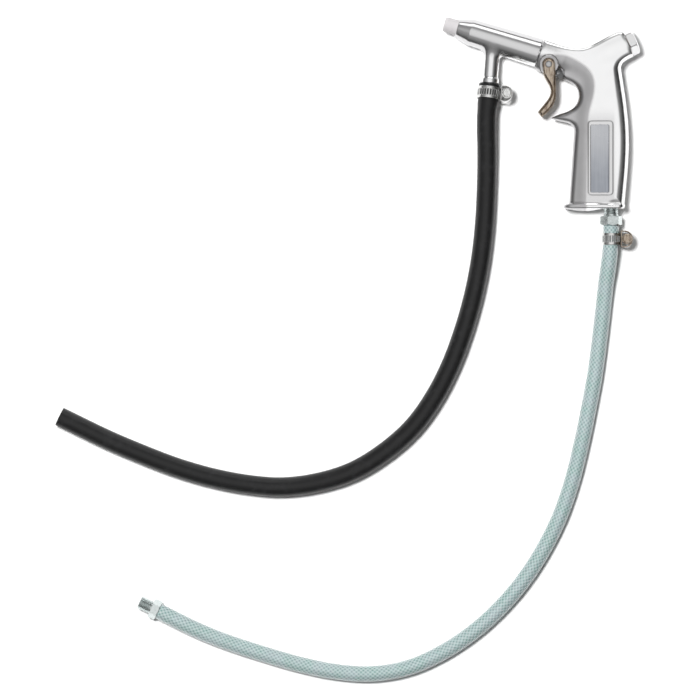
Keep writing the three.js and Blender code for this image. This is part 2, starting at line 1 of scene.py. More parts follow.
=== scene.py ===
# %% [markdown]
# # A suction-fed blast gun with its two hoses
#
# The gun is a polished die casting that lies on its side. A rubber hose brings grit to the
# barrel, a clear braided hose brings air to the grip, and a zinc-plated trigger opens a valve
# in the head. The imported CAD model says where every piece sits. This lesson builds the fine
# surface and the finish of each piece round it, and never moves a CAD part.

# %% Load the frame
import json
import math
import bmesh
import bpy
import numpy as np
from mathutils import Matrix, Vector

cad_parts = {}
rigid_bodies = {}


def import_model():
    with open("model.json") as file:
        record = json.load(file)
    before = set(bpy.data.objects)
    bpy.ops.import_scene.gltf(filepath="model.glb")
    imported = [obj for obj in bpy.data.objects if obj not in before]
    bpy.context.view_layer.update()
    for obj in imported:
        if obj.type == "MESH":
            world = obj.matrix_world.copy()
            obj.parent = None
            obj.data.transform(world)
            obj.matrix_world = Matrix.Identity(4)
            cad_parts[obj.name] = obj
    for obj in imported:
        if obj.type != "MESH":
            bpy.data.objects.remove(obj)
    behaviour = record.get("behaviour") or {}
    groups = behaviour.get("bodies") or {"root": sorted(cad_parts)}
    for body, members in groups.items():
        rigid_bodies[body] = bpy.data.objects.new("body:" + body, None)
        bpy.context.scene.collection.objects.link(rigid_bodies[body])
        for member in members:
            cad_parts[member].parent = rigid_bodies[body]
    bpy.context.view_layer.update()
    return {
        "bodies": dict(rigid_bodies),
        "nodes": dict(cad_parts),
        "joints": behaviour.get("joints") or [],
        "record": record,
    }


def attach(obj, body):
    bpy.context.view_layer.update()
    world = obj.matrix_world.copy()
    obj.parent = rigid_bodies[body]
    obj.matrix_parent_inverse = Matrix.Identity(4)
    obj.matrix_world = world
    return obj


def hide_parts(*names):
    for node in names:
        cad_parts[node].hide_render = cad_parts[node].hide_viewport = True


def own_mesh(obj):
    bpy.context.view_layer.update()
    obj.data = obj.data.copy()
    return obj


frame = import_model()

# %% [markdown]
# Die castings are drawn in millimetres round the middle plane of the gun, with z = 0 on that
# plane. The trigger's pin is the datum: the drawing puts it at (-24, 0.5), the record says
# where it is in the model, and the difference between the two moves the whole drawing.

# %% The drawing's datum
MM = 0.001
record = frame["record"]
joints = {joint["name"]: joint for joint in record["behaviour"]["joints"]}
PIN = np.array([-24.0, 0.5, 0.0])
DATUM = np.array(joints["trigger_pull"]["pos_m"]) - PIN * MM
print("the drawing's origin in the model:", DATUM)


def to_model(points):
    """Drawing millimetres to model metres."""
    return np.asarray(points, float) * MM + DATUM


class Station:
    """A place on the drawing with a heading: its own +Y points along the heading (degrees from
    +X), its +X to the right of that, and its +Z up."""

    def __init__(self, x, y, heading, z=0.0):
        self.x, self.y, self.z = x, y, z
        turn = math.radians(heading - 90)
        self.cos, self.sin = math.cos(turn), math.sin(turn)

    def outward(self, points):
        """Station coordinates to drawing coordinates: a turn about Z, then a shift."""
        points = np.asarray(points, float)
        x, y, z = points[..., 0], points[..., 1], points[..., 2]
        return np.stack([self.x + self.cos * x - self.sin * y,
                         self.y + self.sin * x + self.cos * y, self.z + z], axis=-1)

    def inward(self, x, y):
        """Drawing x and y to the station's own x and y."""
        return (self.cos * (x - self.x) + self.sin * (y - self.y),
                self.cos * (y - self.y) - self.sin * (x - self.x))


BARREL = Station(-33.1, 11.7, 163)
VALVE = Station(53.9, 20.6, 23.5)
STUB = Station(*BARREL.outward([0, 47.6, 0])[:2], -94.2)
INLET = Station(37.4, 0, 90)
SUPPLY = Station(-406.2, -535.5, 154.5, -5.9)

# %% [markdown]
# The camera looks straight down on the gun and both hoses from five metres through a long
# lens, so the nearer parts are hardly larger than the farther ones. It comes first, because
# both hoses have to stay in its view from end to end.

# %% Camera
VIEW_CENTRE = to_model([-218.5, -279.3, 0])
VIEW_HEIGHT = 5.0
VIEW_WIDTH = 0.686
camera = bpy.data.objects.new("camera", bpy.data.cameras.new("camera"))
camera.location = (VIEW_CENTRE[0], VIEW_CENTRE[1], VIEW_HEIGHT)
camera.data.sensor_width = 36
camera.data.lens = camera.data.sensor_width * (VIEW_HEIGHT - VIEW_CENTRE[2]) / VIEW_WIDTH
camera.data.clip_end = 20
bpy.context.collection.objects.link(camera)
bpy.context.scene.camera = camera
print("lens", round(camera.data.lens, 1), "mm")

# %% [markdown]
# ## Tools for surfaces
#
# A surface is worked out with numpy as a whole array of points, a grid of rows and columns.
# Two grid points that fall together, as at the pole of a turned piece, are merged when the
# grid becomes a mesh, so that every piece ends up closed. Each new piece stands for one CAD
# node, so the record already says which body it rides on and which finish it has.

# %% From arrays to a piece
SHARP = math.radians(38)
body_of_node = {node: body for body, nodes in record["behaviour"]["bodies"].items() for node in nodes}
slot_of_node = {part["node"]: part["material_slot"] for part in record["subparts"]}


def make_piece(node, points, faces, uv=None, finish=None):
    """A mesh in model metres from drawing points and corner numbers. It takes the node's place,
    body and slot, and the slot's finish where no other is named."""
    name = node + "_skin"
    mesh = bpy.data.meshes.new(name)
    mesh.from_pydata(to_model(points).tolist(), [], np.asarray(faces).tolist())
    if uv is not None:
        corners = np.zeros(len(mesh.loops), dtype=np.int32)
        mesh.loops.foreach_get("vertex_index", corners)
        layer = mesh.uv_layers.new(name="along")
        layer.data.foreach_set("uv", uv_at_corners(mesh, uv, corners).ravel())
    work = bmesh.new()
    work.from_mesh(mesh)
    bmesh.ops.remove_doubles(work, verts=work.verts, dist=2e-6)
    bmesh.ops.dissolve_degenerate(work, edges=work.edges, dist=1e-7)
    bmesh.ops.recalc_face_normals(work, faces=work.faces)
    work.to_mesh(mesh)
    work.free()
    mesh.shade_smooth()
    mesh.set_sharp_from_angle(angle=SHARP)
    mesh.materials.append(FINISHES[finish or slot_of_node[node]])
    piece = bpy.data.objects.new(name, mesh)
    bpy.context.collection.objects.link(piece)
    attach(piece, body_of_node[node])
    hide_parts(node)
    print(f"{name}: {len(mesh.vertices)} points, {len(mesh.polygons)} faces")
    return piece


def uv_at_corners(mesh, uv, corners):
    """The u and v of each face corner; a face that crosses the seam counts u past one."""
    wide = uv[corners].copy()
    quads = wide.reshape(-1, 4, 2)
    quads[..., 0] += (quads[..., 0] < quads[..., 0].max(axis=1, keepdims=True) - 0.5)
    return quads.reshape(-1, 2)


def grid_faces(rows, columns, wrap_rows=False):
    """Quads between neighbouring grid points, numbered row by row, closed round each row."""
    row = np.arange(rows if wrap_rows else rows - 1)[:, None]
    column = np.arange(columns)[None, :]
    next_row, next_column = (row + 1) % rows, (column + 1) % columns
    quads = np.stack([row * columns + column, row * columns + next_column,
                      next_row * columns + next_column, next_row * columns + column], axis=-1)
    return quads.reshape(-1, 4)


# %% [markdown]
# Turned pieces are a profile carried round an axis. No edge on a real turned part is perfectly
# sharp, so each corner of the profile is first eased by a short curve, which then catches the
# light as a thin bright line. The radius may also change with the angle: it is cut back to a
# hexagon's flats, or rises and falls along a helix to make a thread.

# %% Profiles and turned surfaces
def eased(profile, ease, steps=3):
    """A polyline whose corners are replaced by short parabolas, `ease` mm from each corner."""
    points = np.asarray(profile, float)
    rows = [points[:1]]
    share = np.linspace(0, 1, steps + 1)[:, None]
    for before, corner, after in zip(points[:-2], points[1:-1], points[2:]):
        into, out = before - corner, after - corner
        start = corner + into * min(0.45, ease / max(np.hypot(*into), 1e-6))
        end = corner + out * min(0.45, ease / max(np.hypot(*out), 1e-6))
        rows.append((1 - share) ** 2 * start + 2 * share * (1 - share) * corner + share ** 2 * end)
    return np.concatenate([*rows, points[-1:]])


def dense(profile, step):
    """The same polyline with extra points, so that none are further apart than `step`."""
    points = np.asarray(profile, float)
    rows = []
    for start, end in zip(points[:-1], points[1:]):
        count = max(1, math.ceil(np.hypot(*(end - start)) / step))
        rows.append(start + (end - start) * np.arange(count)[:, None] / count)
    return np.concatenate([*rows, points[-1:]])


def turned(profile, columns, shape):
    """Grid points (radius sin a, height, radius cos a) for a profile of radius and height.
    `shape` may return another radius for each radius, height and angle."""
    profile = np.asarray(profile, float)
    angle = np.arange(columns) * 2 * math.pi / columns
    radius = np.repeat(profile[:, :1], columns, axis=1)
    height = np.repeat(profile[:, 1:], columns, axis=1)
    if shape is not None:
        radius = shape(radius, height, angle[None, :])
    return np.stack([radius * np.sin(angle), height, radius * np.cos(angle)], axis=-1)


def hexagonal(circumradius, low, high, turn=0.0):
    """Between two heights the radius stops at a hexagon's flats: apothem / cos of the angle
    from the middle of the nearest flat."""
    apothem = circumradius * math.cos(math.pi / 6)

    def shape(radius, height, angle):
        from_flat = (angle + turn) % (math.pi / 3) - math.pi / 6
        flats = apothem / np.cos(from_flat)
        return np.where((height > low) & (height < high), np.minimum(radius, flats), radius)
    return shape


def threaded(crest, depth, pitch, low, high):
    """Between two heights the radius follows a rounded saw tooth that climbs once a turn."""
    def shape(radius, height, angle):
        phase = (height / pitch - angle / (2 * math.pi)) % 1.0
        tooth = np.abs(phase - 0.5) * 2
        fade = np.clip(np.minimum(height - low, high - height) / (0.6 * pitch), 0, 1)
        groove = np.clip(tooth * 1.25 - 0.125, 0, 1) * depth * fade
        return np.where((height > low) & (height < high) & (radius > crest - 0.2), crest - groove, radius)
    return shape


def in_turn(*shapes):
    """Several of these shapes, one after the other."""
    def shape(radius, height, angle):
        for one in shapes:
            radius = one(radius, height, angle)
        return radius
    return shape


def turned_piece(node, station, profile, columns, shape=None, upright=False):
    """A turned piece at a station. An upright one stands along +Z instead of the heading."""
    points = turned(profile, columns, shape)
    if upright:
        points = points[..., [0, 2, 1]] * np.array([1, -1, 1])
    return make_piece(node, station.outward(points.reshape(-1, 3)), grid_faces(len(profile), columns))


# %% [markdown]
# ## Tools for castings
#
# A casting has no single profile: a head, a grip and a foot flow into each other with fillets,
# and pockets are sunk into them. Carrying profiles along paths would leave the fillets to be
# patched by hand. So a casting is a **field**: a number for every point of space, negative in
# the metal and positive in the air, made from simple distances. Two fields are joined or cut
# with a fillet by a smooth minimum. The skin is then found on a lattice of small cells, one
# point in each cell that the surface crosses, and each point is slid along the field's slope
# until the number is zero.

# %% Distances
STRIP = 20000


def outline_distance(x, y, outline):
    """Distance from points to a closed outline of (x, y), negative inside it, worked out a
    strip of points at a time to save memory."""
    start = np.asarray(outline, float)
    edge = np.roll(start, -1, axis=0) - start
    flat_x, flat_y = np.ravel(x), np.ravel(y)
    result = np.empty(flat_x.size)
    for first in range(0, flat_x.size, STRIP):
        px = flat_x[first:first + STRIP, None] - start[:, 0]
        py = flat_y[first:first + STRIP, None] - start[:, 1]
        share = np.clip((px * edge[:, 0] + py * edge[:, 1]) / (edge ** 2).sum(axis=1), 0, 1)
        away = np.sqrt(((px - share * edge[:, 0]) ** 2 + (py - share * edge[:, 1]) ** 2).min(axis=1))
        spans = (py < 0) != (py - edge[:, 1] < 0)
        rise = np.where(edge[:, 1] == 0, 1.0, edge[:, 1])
        crossings = (spans & (px < py * edge[:, 0] / rise)).sum(axis=1)
        result[first:first + STRIP] = np.where(crossings % 2 == 1, -away, away)
    return result.reshape(np.shape(x))


CHART_MARGIN = 7.0


def chart(outline, step=0.3):
    """Distances to an outline, worked out once on a fine sheet and read off by blending the
    four nearest marks. The sheet is softened a little, so that the straight steps of the
    outline don't show as facets."""
    outline = np.asarray(outline, float)
    low = outline.min(axis=0) - CHART_MARGIN
    counts = np.ceil((outline.max(axis=0) + CHART_MARGIN - low) / step).astype(int) + 1
    xs, ys = low[0] + step * np.arange(counts[0]), low[1] + step * np.arange(counts[1])
    sheet = outline_distance(*np.meshgrid(xs, ys, indexing="ij"), outline)
    for _ in range(2):
        padded = np.pad(sheet, 1, mode="edge")
        sheet = (4 * padded[1:-1, 1:-1] + padded[:-2, 1:-1] + padded[2:, 1:-1]
                 + padded[1:-1, :-2] + padded[1:-1, 2:]) / 8

    def look_up(x, y):
        column = np.clip((x - low[0]) / step, 0, counts[0] - 1.001)
        row = np.clip((y - low[1]) / step, 0, counts[1] - 1.001)
        column, row = np.broadcast_arrays(column, row)
        i, j = column.astype(int), row.astype(int)
        s, t = column - i, row - j
        return ((1 - s) * ((1 - t) * sheet[i, j] + t * sheet[i, j + 1])
                + s * ((1 - t) * sheet[i + 1, j] + t * sheet[i + 1, j + 1]))
    return look_up


def bezier(start, *handles, steps=16):
    """Points of a quadratic or cubic curve from `start`, without the start itself."""
    t = np.linspace(0, 1, steps + 1)[1:, None]
    points = [np.asarray(p, float) for p in (start, *handles)]
    while len(points) > 1:
        points = [(1 - t) * a + t * b for a, b in zip(points[:-1], points[1:])]
    return points[0]


def arc(x, y, radius, start, end, steps=24):
    """Points of a round arc between two angles in degrees."""
    angle = np.radians(np.linspace(start, end, steps + 1))
    return np.stack([x + radius * np.cos(angle), y + radius * np.sin(angle)], axis=-1)


def drawn(start, *strokes):
    """An outline from a start point and strokes: a point for a straight line, or a tuple of
    handles for a curve."""
    points = [np.asarray([start], float)]
    for stroke in strokes:
        last = points[-1][-1]
        if isinstance(stroke[0], tuple):
            points.append(bezier(last, *stroke))
        else:
            points.append(np.asarray([stroke], float))
    return dense(np.concatenate(points), 1.0)


def joined(a, b, fillet):
    """The smaller of two fields, with a fillet: a smooth minimum."""
    share = np.clip(0.5 + 0.5 * (b - a) / fillet, 0, 1)
    return b + (a - b) * share - fillet * share * (1 - share)


def cut(a, b, fillet):
    """Field a with field b taken out of it, its new edge eased."""
    return -joined(-a, b, fillet)


def rounded(a, b, radius):
    """The part inside both fields, its edge rounded to a radius."""
    return (np.minimum(np.maximum(a, b), -radius)
            + np.hypot(np.maximum(a + radius, 0), np.maximum(b + radius, 0)))


def eased_step(value, low, high):
    """0 below low, 1 above high, and a smooth S between them."""
    share = np.clip((value - low) / (high - low), 0, 1)
    return share * share * (3 - 2 * share)


def rod(x, y, z, station, radius, low, high):
    """A round bar along a station's heading."""
    across, along = station.inward(x, y)
    return np.maximum(np.hypot(across, z) - radius, np.maximum(low - along, along - high))


# %% The skin of a field
BLOCK = 4


def signs(field, axes, cell):
    """Whether each lattice point is inside. The field is read first at the middle of blocks of
    cells, and point by point only in blocks that lie near the surface."""
    blocks = [(len(axis) - 1) // BLOCK + 1 for axis in axes]
    middles = [axis[0] + (np.arange(count) + 0.5) * BLOCK * cell for axis, count in zip(axes, blocks)]
    rough = field(middles[0][:, None, None], middles[1][None, :, None], middles[2][None, None, :])
    inside, near = rough < 0, np.abs(rough) < 1.4 * BLOCK * cell
    for axis in range(3):
        inside, near = np.repeat(inside, BLOCK, axis=axis), np.repeat(near, BLOCK, axis=axis)
    keep = tuple(slice(0, len(axis)) for axis in axes)
    inside, near = inside[keep].copy(), near[keep].copy()
    near[1:] |= near[:-1].copy()
    near[:, 1:] |= near[:, :-1].copy()
    near[:, :, 1:] |= near[:, :, :-1].copy()
    at = np.nonzero(near)
    inside[at] = field(*[axis[index] for axis, index in zip(axes, at)]) < 0
    return inside


def skin(field, low, high, cell):
    """Points and quads of the surface where a field is zero, inside a box."""
    axes = [a + cell * np.arange(int((b - a) / cell) + 2) for a, b in zip(low, high)]
    inside = signs(field, axes, cell)
    block = [inside[i:inside.shape[0] - 1 + i, j:inside.shape[1] - 1 + j, k:inside.shape[2] - 1 + k]
             for i in (0, 1) for j in (0, 1) for k in (0, 1)]
    count = np.sum(block, axis=0, dtype=np.int8)
    crossed = (count > 0) & (count < 8)
    number = np.full(crossed.shape, -1, dtype=np.int64)
    number[crossed] = np.arange(crossed.sum())
    at = np.argwhere(crossed)
    centre = np.stack([axes[a][at[:, a]] + cell / 2 for a in range(3)], axis=-1)
    points = slid_to_zero(field, centre, cell)
    quads = []
    for axis in range(3):
        order = [axis, (axis + 1) % 3, (axis + 2) % 3]
        turned_inside = inside.transpose(order)
        cells = number.transpose(order)
        here, there = turned_inside[:-1, 1:-1, 1:-1], turned_inside[1:, 1:-1, 1:-1]
        four = np.stack([cells[:, :-1, :-1], cells[:, 1:, :-1], cells[:, 1:, 1:], cells[:, :-1, 1:]], axis=-1)
        quads.append(four[here & ~there])
        quads.append(four[there & ~here][:, ::-1])
    return points, np.concatenate(quads)


def slid_to_zero(field, points, cell, rounds=5):
    """Newton's steps along the field's slope, held within a cell of the start."""
    start = points.copy()
    nudge = 0.02
    for _ in range(rounds):
        value = field(*points.T)
        slope = np.stack([(field(*(points + nudge * way).T) - value) / nudge for way in np.eye(3)], axis=-1)
        steep = np.maximum((slope ** 2).sum(axis=1), 0.05)
        points = points - (value / steep)[:, None] * slope
        points = start + np.clip(points - start, -0.95 * cell, 0.95 * cell)
    return points


def cast_piece(node, field, low, high, cell):
    return make_piece(node, *skin(field, low, high, cell * (1.0)))


# %% [markdown]
# ## Finishes
#
# Every finish is a Principled shader whose colour, roughness and fine relief come from noise in
# object coordinates, so that it sits still on the piece and is as fine as the real finish. One
# small helper adds a node, sets its plain inputs and wires the others.

# %% Node helper
def add_node(tree, kind, inputs=(), **settings):
    """A node of this kind. An input that is a socket is wired, and any other is set."""
    made = tree.nodes.new("ShaderNode" + kind)
    for key, value in settings.items():
        setattr(made, key, value)
    for key, value in dict(inputs).items():
        if isinstance(value, bpy.types.NodeSocket):
            tree.links.new(value, made.inputs[key])
        else:
            made.inputs[key].default_value = value
    return made


def math_node(tree, operation, *values):
    """The result socket of one sum."""
    return add_node(tree, "Math", enumerate(values), operation=operation).outputs[0]


def noise(tree, size_mm, detail, stretch=(1, 1, 1)):
    """Cloud noise from 0 to 1 whose blobs are about `size_mm` wide."""
    source = add_node(tree, "TexCoord").outputs["Object"]
    scaled = add_node(tree, "Mapping", {"Vector": source, "Scale": stretch}).outputs[0]
    return add_node(tree, "TexNoise", {"Vector": scaled, "Scale": 1 / (size_mm * MM), "Detail": detail}).outputs[0]


def ramp(tree, factor, low, high, low_value, high_value):
    """A number that goes from one value to another as the factor goes from low to high."""
    return add_node(tree, "MapRange", {0: factor, 1: low, 2: high, 3: low_value, 4: high_value},
                    clamp=True).outputs[0]


def blend_colours(tree, factor, first, second):
    """A colour between two colours, each a tuple or a socket."""
    mixer = add_node(tree, "Mix", {0: factor}, data_type="RGBA")
    for number, colour in ((6, first), (7, second)):
        if isinstance(colour, bpy.types.NodeSocket):
            tree.links.new(colour, mixer.inputs[number])
        else:
            mixer.inputs[number].default_value = (*colour, 1)
    return mixer.outputs[2]


def attribute(tree, name):
    """A number that the mesh carries at each point."""
    return add_node(tree, "Attribute", attribute_name=name).outputs["Fac"]


def start_finish(name, metallic=0.0, **plain):
    """A new material, its tree and its shader, with plain values set on the shader."""
    material = bpy.data.materials.new(name)
    material.use_nodes = True
    shader = material.node_tree.nodes["Principled BSDF"]
    shader.inputs["Metallic"].default_value = metallic
    for key, value in plain.items():
        shader.inputs[key.replace("_", " ")].default_value = value
    return material, material.node_tree, shader


def relief(tree, shader, height, depth_mm):
    """Fine relief: a bump this many millimetres deep."""
    bump = add_node(tree, "Bump", {"Height": height, "Strength": 1.0, "Distance": depth_mm * MM})
    tree.links.new(bump.outputs[0], shader.inputs["Normal"])


# %% [markdown]
# The gun is a tumbled and polished casting. Its broad sides are bright. Its front slope is satin: rougher, and
# painted a darker grey as shade. The lower grip and the barrel get some of that painted shade without the roughness.
# The sunk panel on the grip is brushed along its length, and painted darker towards the bottom as shade. The mesh
# carries two numbers for that, one for the satin with its painted shade and one for the panel, and the finish blends
# between them.

# %% Cast metal
def cast_metal():
    material, tree, shader = start_finish("cast aluminium", metallic=1.0)
    blotches = noise(tree, 9, 2)
    grain = noise(tree, 0.7, 4)
    brushed = noise(tree, 0.8, 3, stretch=(1, 0.03, 1))
    satin_and_shade, panel = attribute(tree, "satin_and_shade"), attribute(tree, "panel")
    bright = blend_colours(tree, blotches, (0.84, 0.84, 0.845), (0.92, 0.92, 0.92))
    # The dull colour is painted shade: a darker copy of the metal wherever the satin number is high.
    dull_and_shaded = blend_colours(tree, grain, (0.50, 0.50, 0.505), (0.58, 0.57, 0.575))
    blue = blend_colours(tree, brushed, (0.30, 0.32, 0.36), (0.46, 0.48, 0.52))
    colour = blend_colours(tree, panel, blend_colours(tree, satin_and_shade, bright, dull_and_shaded), blue)
    tree.links.new(colour, shader.inputs["Base Color"])
    smooth = ramp(tree, blotches, 0.3, 0.7, 0.13, 0.2)
    rough = math_node(tree, "ADD", smooth, ramp(tree, satin_and_shade, 0.75, 1, 0, 0.17))
    rough = math_node(tree, "ADD", rough, math_node(tree, "MULTIPLY", panel, 0.2))
    tree.links.new(rough, shader.inputs["Roughness"])
    height = math_node(tree, "MULTIPLY_ADD", math_node(tree, "MULTIPLY", panel, brushed), 2.0, grain)
    relief(tree, shader, height, 0.008)
    return material


def plain_metal(name, dark, light, rough_low, rough_high):
    """A plated or turned metal with faint patches and fine marks."""
    material, tree, shader = start_finish(name, metallic=1.0)
    patches = noise(tree, 2, 4)
    tree.links.new(blend_colours(tree, patches, dark, light), shader.inputs["Base Color"])
    tree.links.new(ramp(tree, patches, 0.3, 0.7, rough_high, rough_low), shader.inputs["Roughness"])
    relief(tree, shader, noise(tree, 0.35, 3), 0.004)
    return material


# %% [markdown]
# Yellow zinc plating is a thin film, so its gold drifts towards pink and straw over a few
# millimetres. The ceramic nozzle is matt and slightly mottled.

# %% Plating, ceramic and rubber
def gold_zinc():
    material, tree, shader = start_finish("yellow zinc plate", metallic=1.0)
    drift, patches = noise(tree, 1.6, 3, stretch=(1, 0.15, 1)), noise(tree, 1.1, 4)
    gold = blend_colours(tree, ramp(tree, drift, 0.35, 0.65, 0, 1), (0.24, 0.18, 0.135), (0.56, 0.48, 0.38))
    tree.links.new(blend_colours(tree, ramp(tree, patches, 0.5, 0.75, 0, 0.7), gold, (0.62, 0.54, 0.50)),
                   shader.inputs["Base Color"])
    tree.links.new(ramp(tree, patches, 0.3, 0.7, 0.2, 0.36), shader.inputs["Roughness"])
    relief(tree, shader, noise(tree, 0.9, 2), 0.006)
    return material


def band_steel(name, floor):
    """Rolled steel strip whose slots show what lies under the band. The mesh carries `slot`."""
    material, tree, shader = start_finish(name)
    in_slot, patches = attribute(tree, "slot"), noise(tree, 2, 3)
    steel = blend_colours(tree, patches, (0.62, 0.62, 0.61), (0.82, 0.82, 0.81))
    tree.links.new(blend_colours(tree, in_slot, steel, floor), shader.inputs["Base Color"])
    tree.links.new(ramp(tree, in_slot, 0, 1, 1, 0), shader.inputs["Metallic"])
    tree.links.new(ramp(tree, in_slot, 0, 1, 0.24, 0.5), shader.inputs["Roughness"])
    relief(tree, shader, noise(tree, 0.35, 3), 0.004)
    return material


def matt(name, dark, light, roughness, blob_mm, relief_mm):
    """A matt finish that isn't metal, mottled between two colours."""
    material, tree, shader = start_finish(name, Roughness=roughness)
    tree.links.new(blend_colours(tree, noise(tree, blob_mm, 4), dark, light), shader.inputs["Base Color"])
    relief(tree, shader, noise(tree, blob_mm * 0.25, 3), relief_mm)
    return material


# %% [markdown]
# The suction hose is extruded rubber: fine lines along it from the die, and a little pale dust.
# The air hose is tinted clear vinyl round two layers of white yarn that cross in diamonds. The
# yarn is drawn from the UV map that the hose will carry, once round for u and millimetres
# along for v: each layer is a set of stripes at u times the number of yarns plus or minus v over
# the pitch, and a stripe is bright where the fraction of that number lies near the middle.

# %% Hose finishes
def suction_rubber():
    material, tree, shader = start_finish("suction rubber", Roughness=0.42, Specular_IOR_Level=0.35)
    uv_map = add_node(tree, "UVMap", uv_map="along").outputs[0]
    split = add_node(tree, "SeparateXYZ", {0: uv_map})
    lines_at = add_node(tree, "CombineXYZ", {0: math_node(tree, "MULTIPLY", split.outputs[0], 0.09),
                                             1: math_node(tree, "MULTIPLY", split.outputs[1], 0.00004)}).outputs[0]
    lines = add_node(tree, "TexNoise", {"Vector": lines_at, "Scale": 900.0, "Detail": 3.0}).outputs[0]
    dust = ramp(tree, noise(tree, 7, 5), 0.52, 0.8, 0, 1)
    tree.links.new(blend_colours(tree, dust, (0.009, 0.009, 0.0093), (0.02, 0.02, 0.021)),
                   shader.inputs["Base Color"])
    tree.links.new(ramp(tree, dust, 0, 1, 0.38, 0.55), shader.inputs["Roughness"])
    relief(tree, shader, lines, 0.05)
    return material


YARNS = 12
BRAID_PITCH = 4.6


def braided_vinyl():
    material, tree, shader = start_finish(
        "braided vinyl", IOR=1.52, Transmission_Weight=0.12, Subsurface_Weight=0.25,
        Coat_Weight=1.0, Coat_Roughness=0.06, Coat_IOR=1.5, Subsurface_Scale=0.002)
    shader.inputs["Subsurface Radius"].default_value = (0.6, 1.0, 0.95)
    uv_map = add_node(tree, "UVMap", uv_map="along").outputs[0]
    split = add_node(tree, "SeparateXYZ", {0: uv_map})
    around = math_node(tree, "MULTIPLY", split.outputs[0], float(YARNS))
    along = math_node(tree, "DIVIDE", split.outputs[1], BRAID_PITCH)
    stripes = []
    for sign in ("ADD", "SUBTRACT"):
        place = math_node(tree, "FRACT", math_node(tree, sign, around, along))
        from_middle = math_node(tree, "ABSOLUTE", math_node(tree, "SUBTRACT", place, 0.5))
        stripes.append(ramp(tree, from_middle, 0.17, 0.32, 1, 0))
    yarn = math_node(tree, "MAXIMUM", *stripes)
    crossing = math_node(tree, "MULTIPLY", *stripes)
    cloud = ramp(tree, noise(tree, 14, 2), 0.35, 0.65, 0, 1)
    gap = blend_colours(tree, cloud, (0.20, 0.33, 0.31), (0.29, 0.37, 0.39))
    thread = blend_colours(tree, cloud, (0.34, 0.46, 0.44), (0.40, 0.48, 0.49))
    colour = blend_colours(tree, crossing, blend_colours(tree, yarn, gap, thread), (0.50, 0.60, 0.60))
    tree.links.new(colour, shader.inputs["Base Color"])
    tree.links.new(ramp(tree, yarn, 0, 1, 0.22, 0.4), shader.inputs["Roughness"])
    relief(tree, shader, math_node(tree, "ADD", yarn, crossing), 0.12)
    return material


# %% The list of finishes
FINISHES = {
    "cast_aluminium": cast_metal(),
    "gold_zinc_steel": gold_zinc(),
    "zinc_steel": plain_metal("clear zinc plate", (0.58, 0.64, 0.63), (0.74, 0.78, 0.78), 0.18, 0.34),
    "clamp_steel": plain_metal("clamp steel", (0.66, 0.66, 0.65), (0.86, 0.86, 0.85), 0.14, 0.28),
    "plain_steel": plain_metal("plain steel", (0.42, 0.42, 0.43), (0.60, 0.60, 0.60), 0.24, 0.42),
    "band_on_rubber": band_steel("band on rubber", (0.03, 0.03, 0.03)),
    # On the clear hose the slot floors are dark grey, darker than the hose: painted shade inside the slots.
    "band_on_vinyl": band_steel("band on vinyl", (0.16, 0.17, 0.17)),
    "brass": plain_metal("brass", (0.66, 0.47, 0.20), (0.80, 0.62, 0.32), 0.2, 0.36),
    "ceramic": matt("alumina ceramic", (0.48, 0.465, 0.47), (0.57, 0.55, 0.56), 0.5, 4, 0.01),
    "seal_rubber": matt("seal rubber", (0.012, 0.012, 0.013), (0.03, 0.03, 0.03), 0.55, 1.5, 0.01),
    "fibre": matt("pressed fibre", (0.30, 0.10, 0.06), (0.42, 0.17, 0.10), 0.8, 0.8, 0.03),
    "suction_rubber": suction_rubber(),
    "clear_vinyl": braided_vinyl(),
}
print(len(FINISHES), "finishes")

# %% [markdown]
# ## The two hoses
#
# A hose is a circle carried along a smooth line. The line runs through the same points as the
# solid hose in the model: a centripetal Catmull-Rom spline, which passes through every point
# and doesn't overshoot where the points lie close together. Each hose has a UV map, once round
# for u and millimetres along for v, because its pattern has to follow its bends.

# %% A smooth line through points
def smooth_line(points, step=2.0):
    """The centripetal Catmull-Rom spline through the points, about `step` mm apart, and the
    distance along it. Each span is a cubic whose slopes come from the square roots of the gaps."""
    points = np.asarray(points, float)
    first, last = 2 * points[0] - points[1], 2 * points[-1] - points[-2]
    points = np.concatenate([[first], points, [last]])
    gaps = np.sqrt(np.sqrt(((points[1:] - points[:-1]) ** 2).sum(axis=1)))
    gaps = gaps[:, None]
    steps = (points[1:] - points[:-1]) / gaps
    wide = (points[2:] - points[:-2]) / (gaps[1:] + gaps[:-1])
    slopes = steps[:-1] - wide + steps[1:]
    rows = []
    for span in range(len(points) - 3):
        start, end = points[span + 1], points[span + 2]
        here, there = slopes[span] * gaps[span + 1], slopes[span + 1] * gaps[span + 1]
        count = max(2, round(float(np.hypot(*(end - start)[:2])) / step))
        t = (np.arange(count) / count)[:, None]
        rows.append((2 * t ** 3 - 3 * t ** 2 + 1) * start + (t ** 3 - 2 * t ** 2 + t) * here
                    + (3 * t ** 2 - 2 * t ** 3) * end + (t ** 3 - t ** 2) * there)
    line = np.concatenate([*rows, points[-2:-1]])
    along = np.concatenate([[0], np.cumsum(np.sqrt(((line[1:] - line[:-1]) ** 2).sum(axis=1)))])
    return line, along


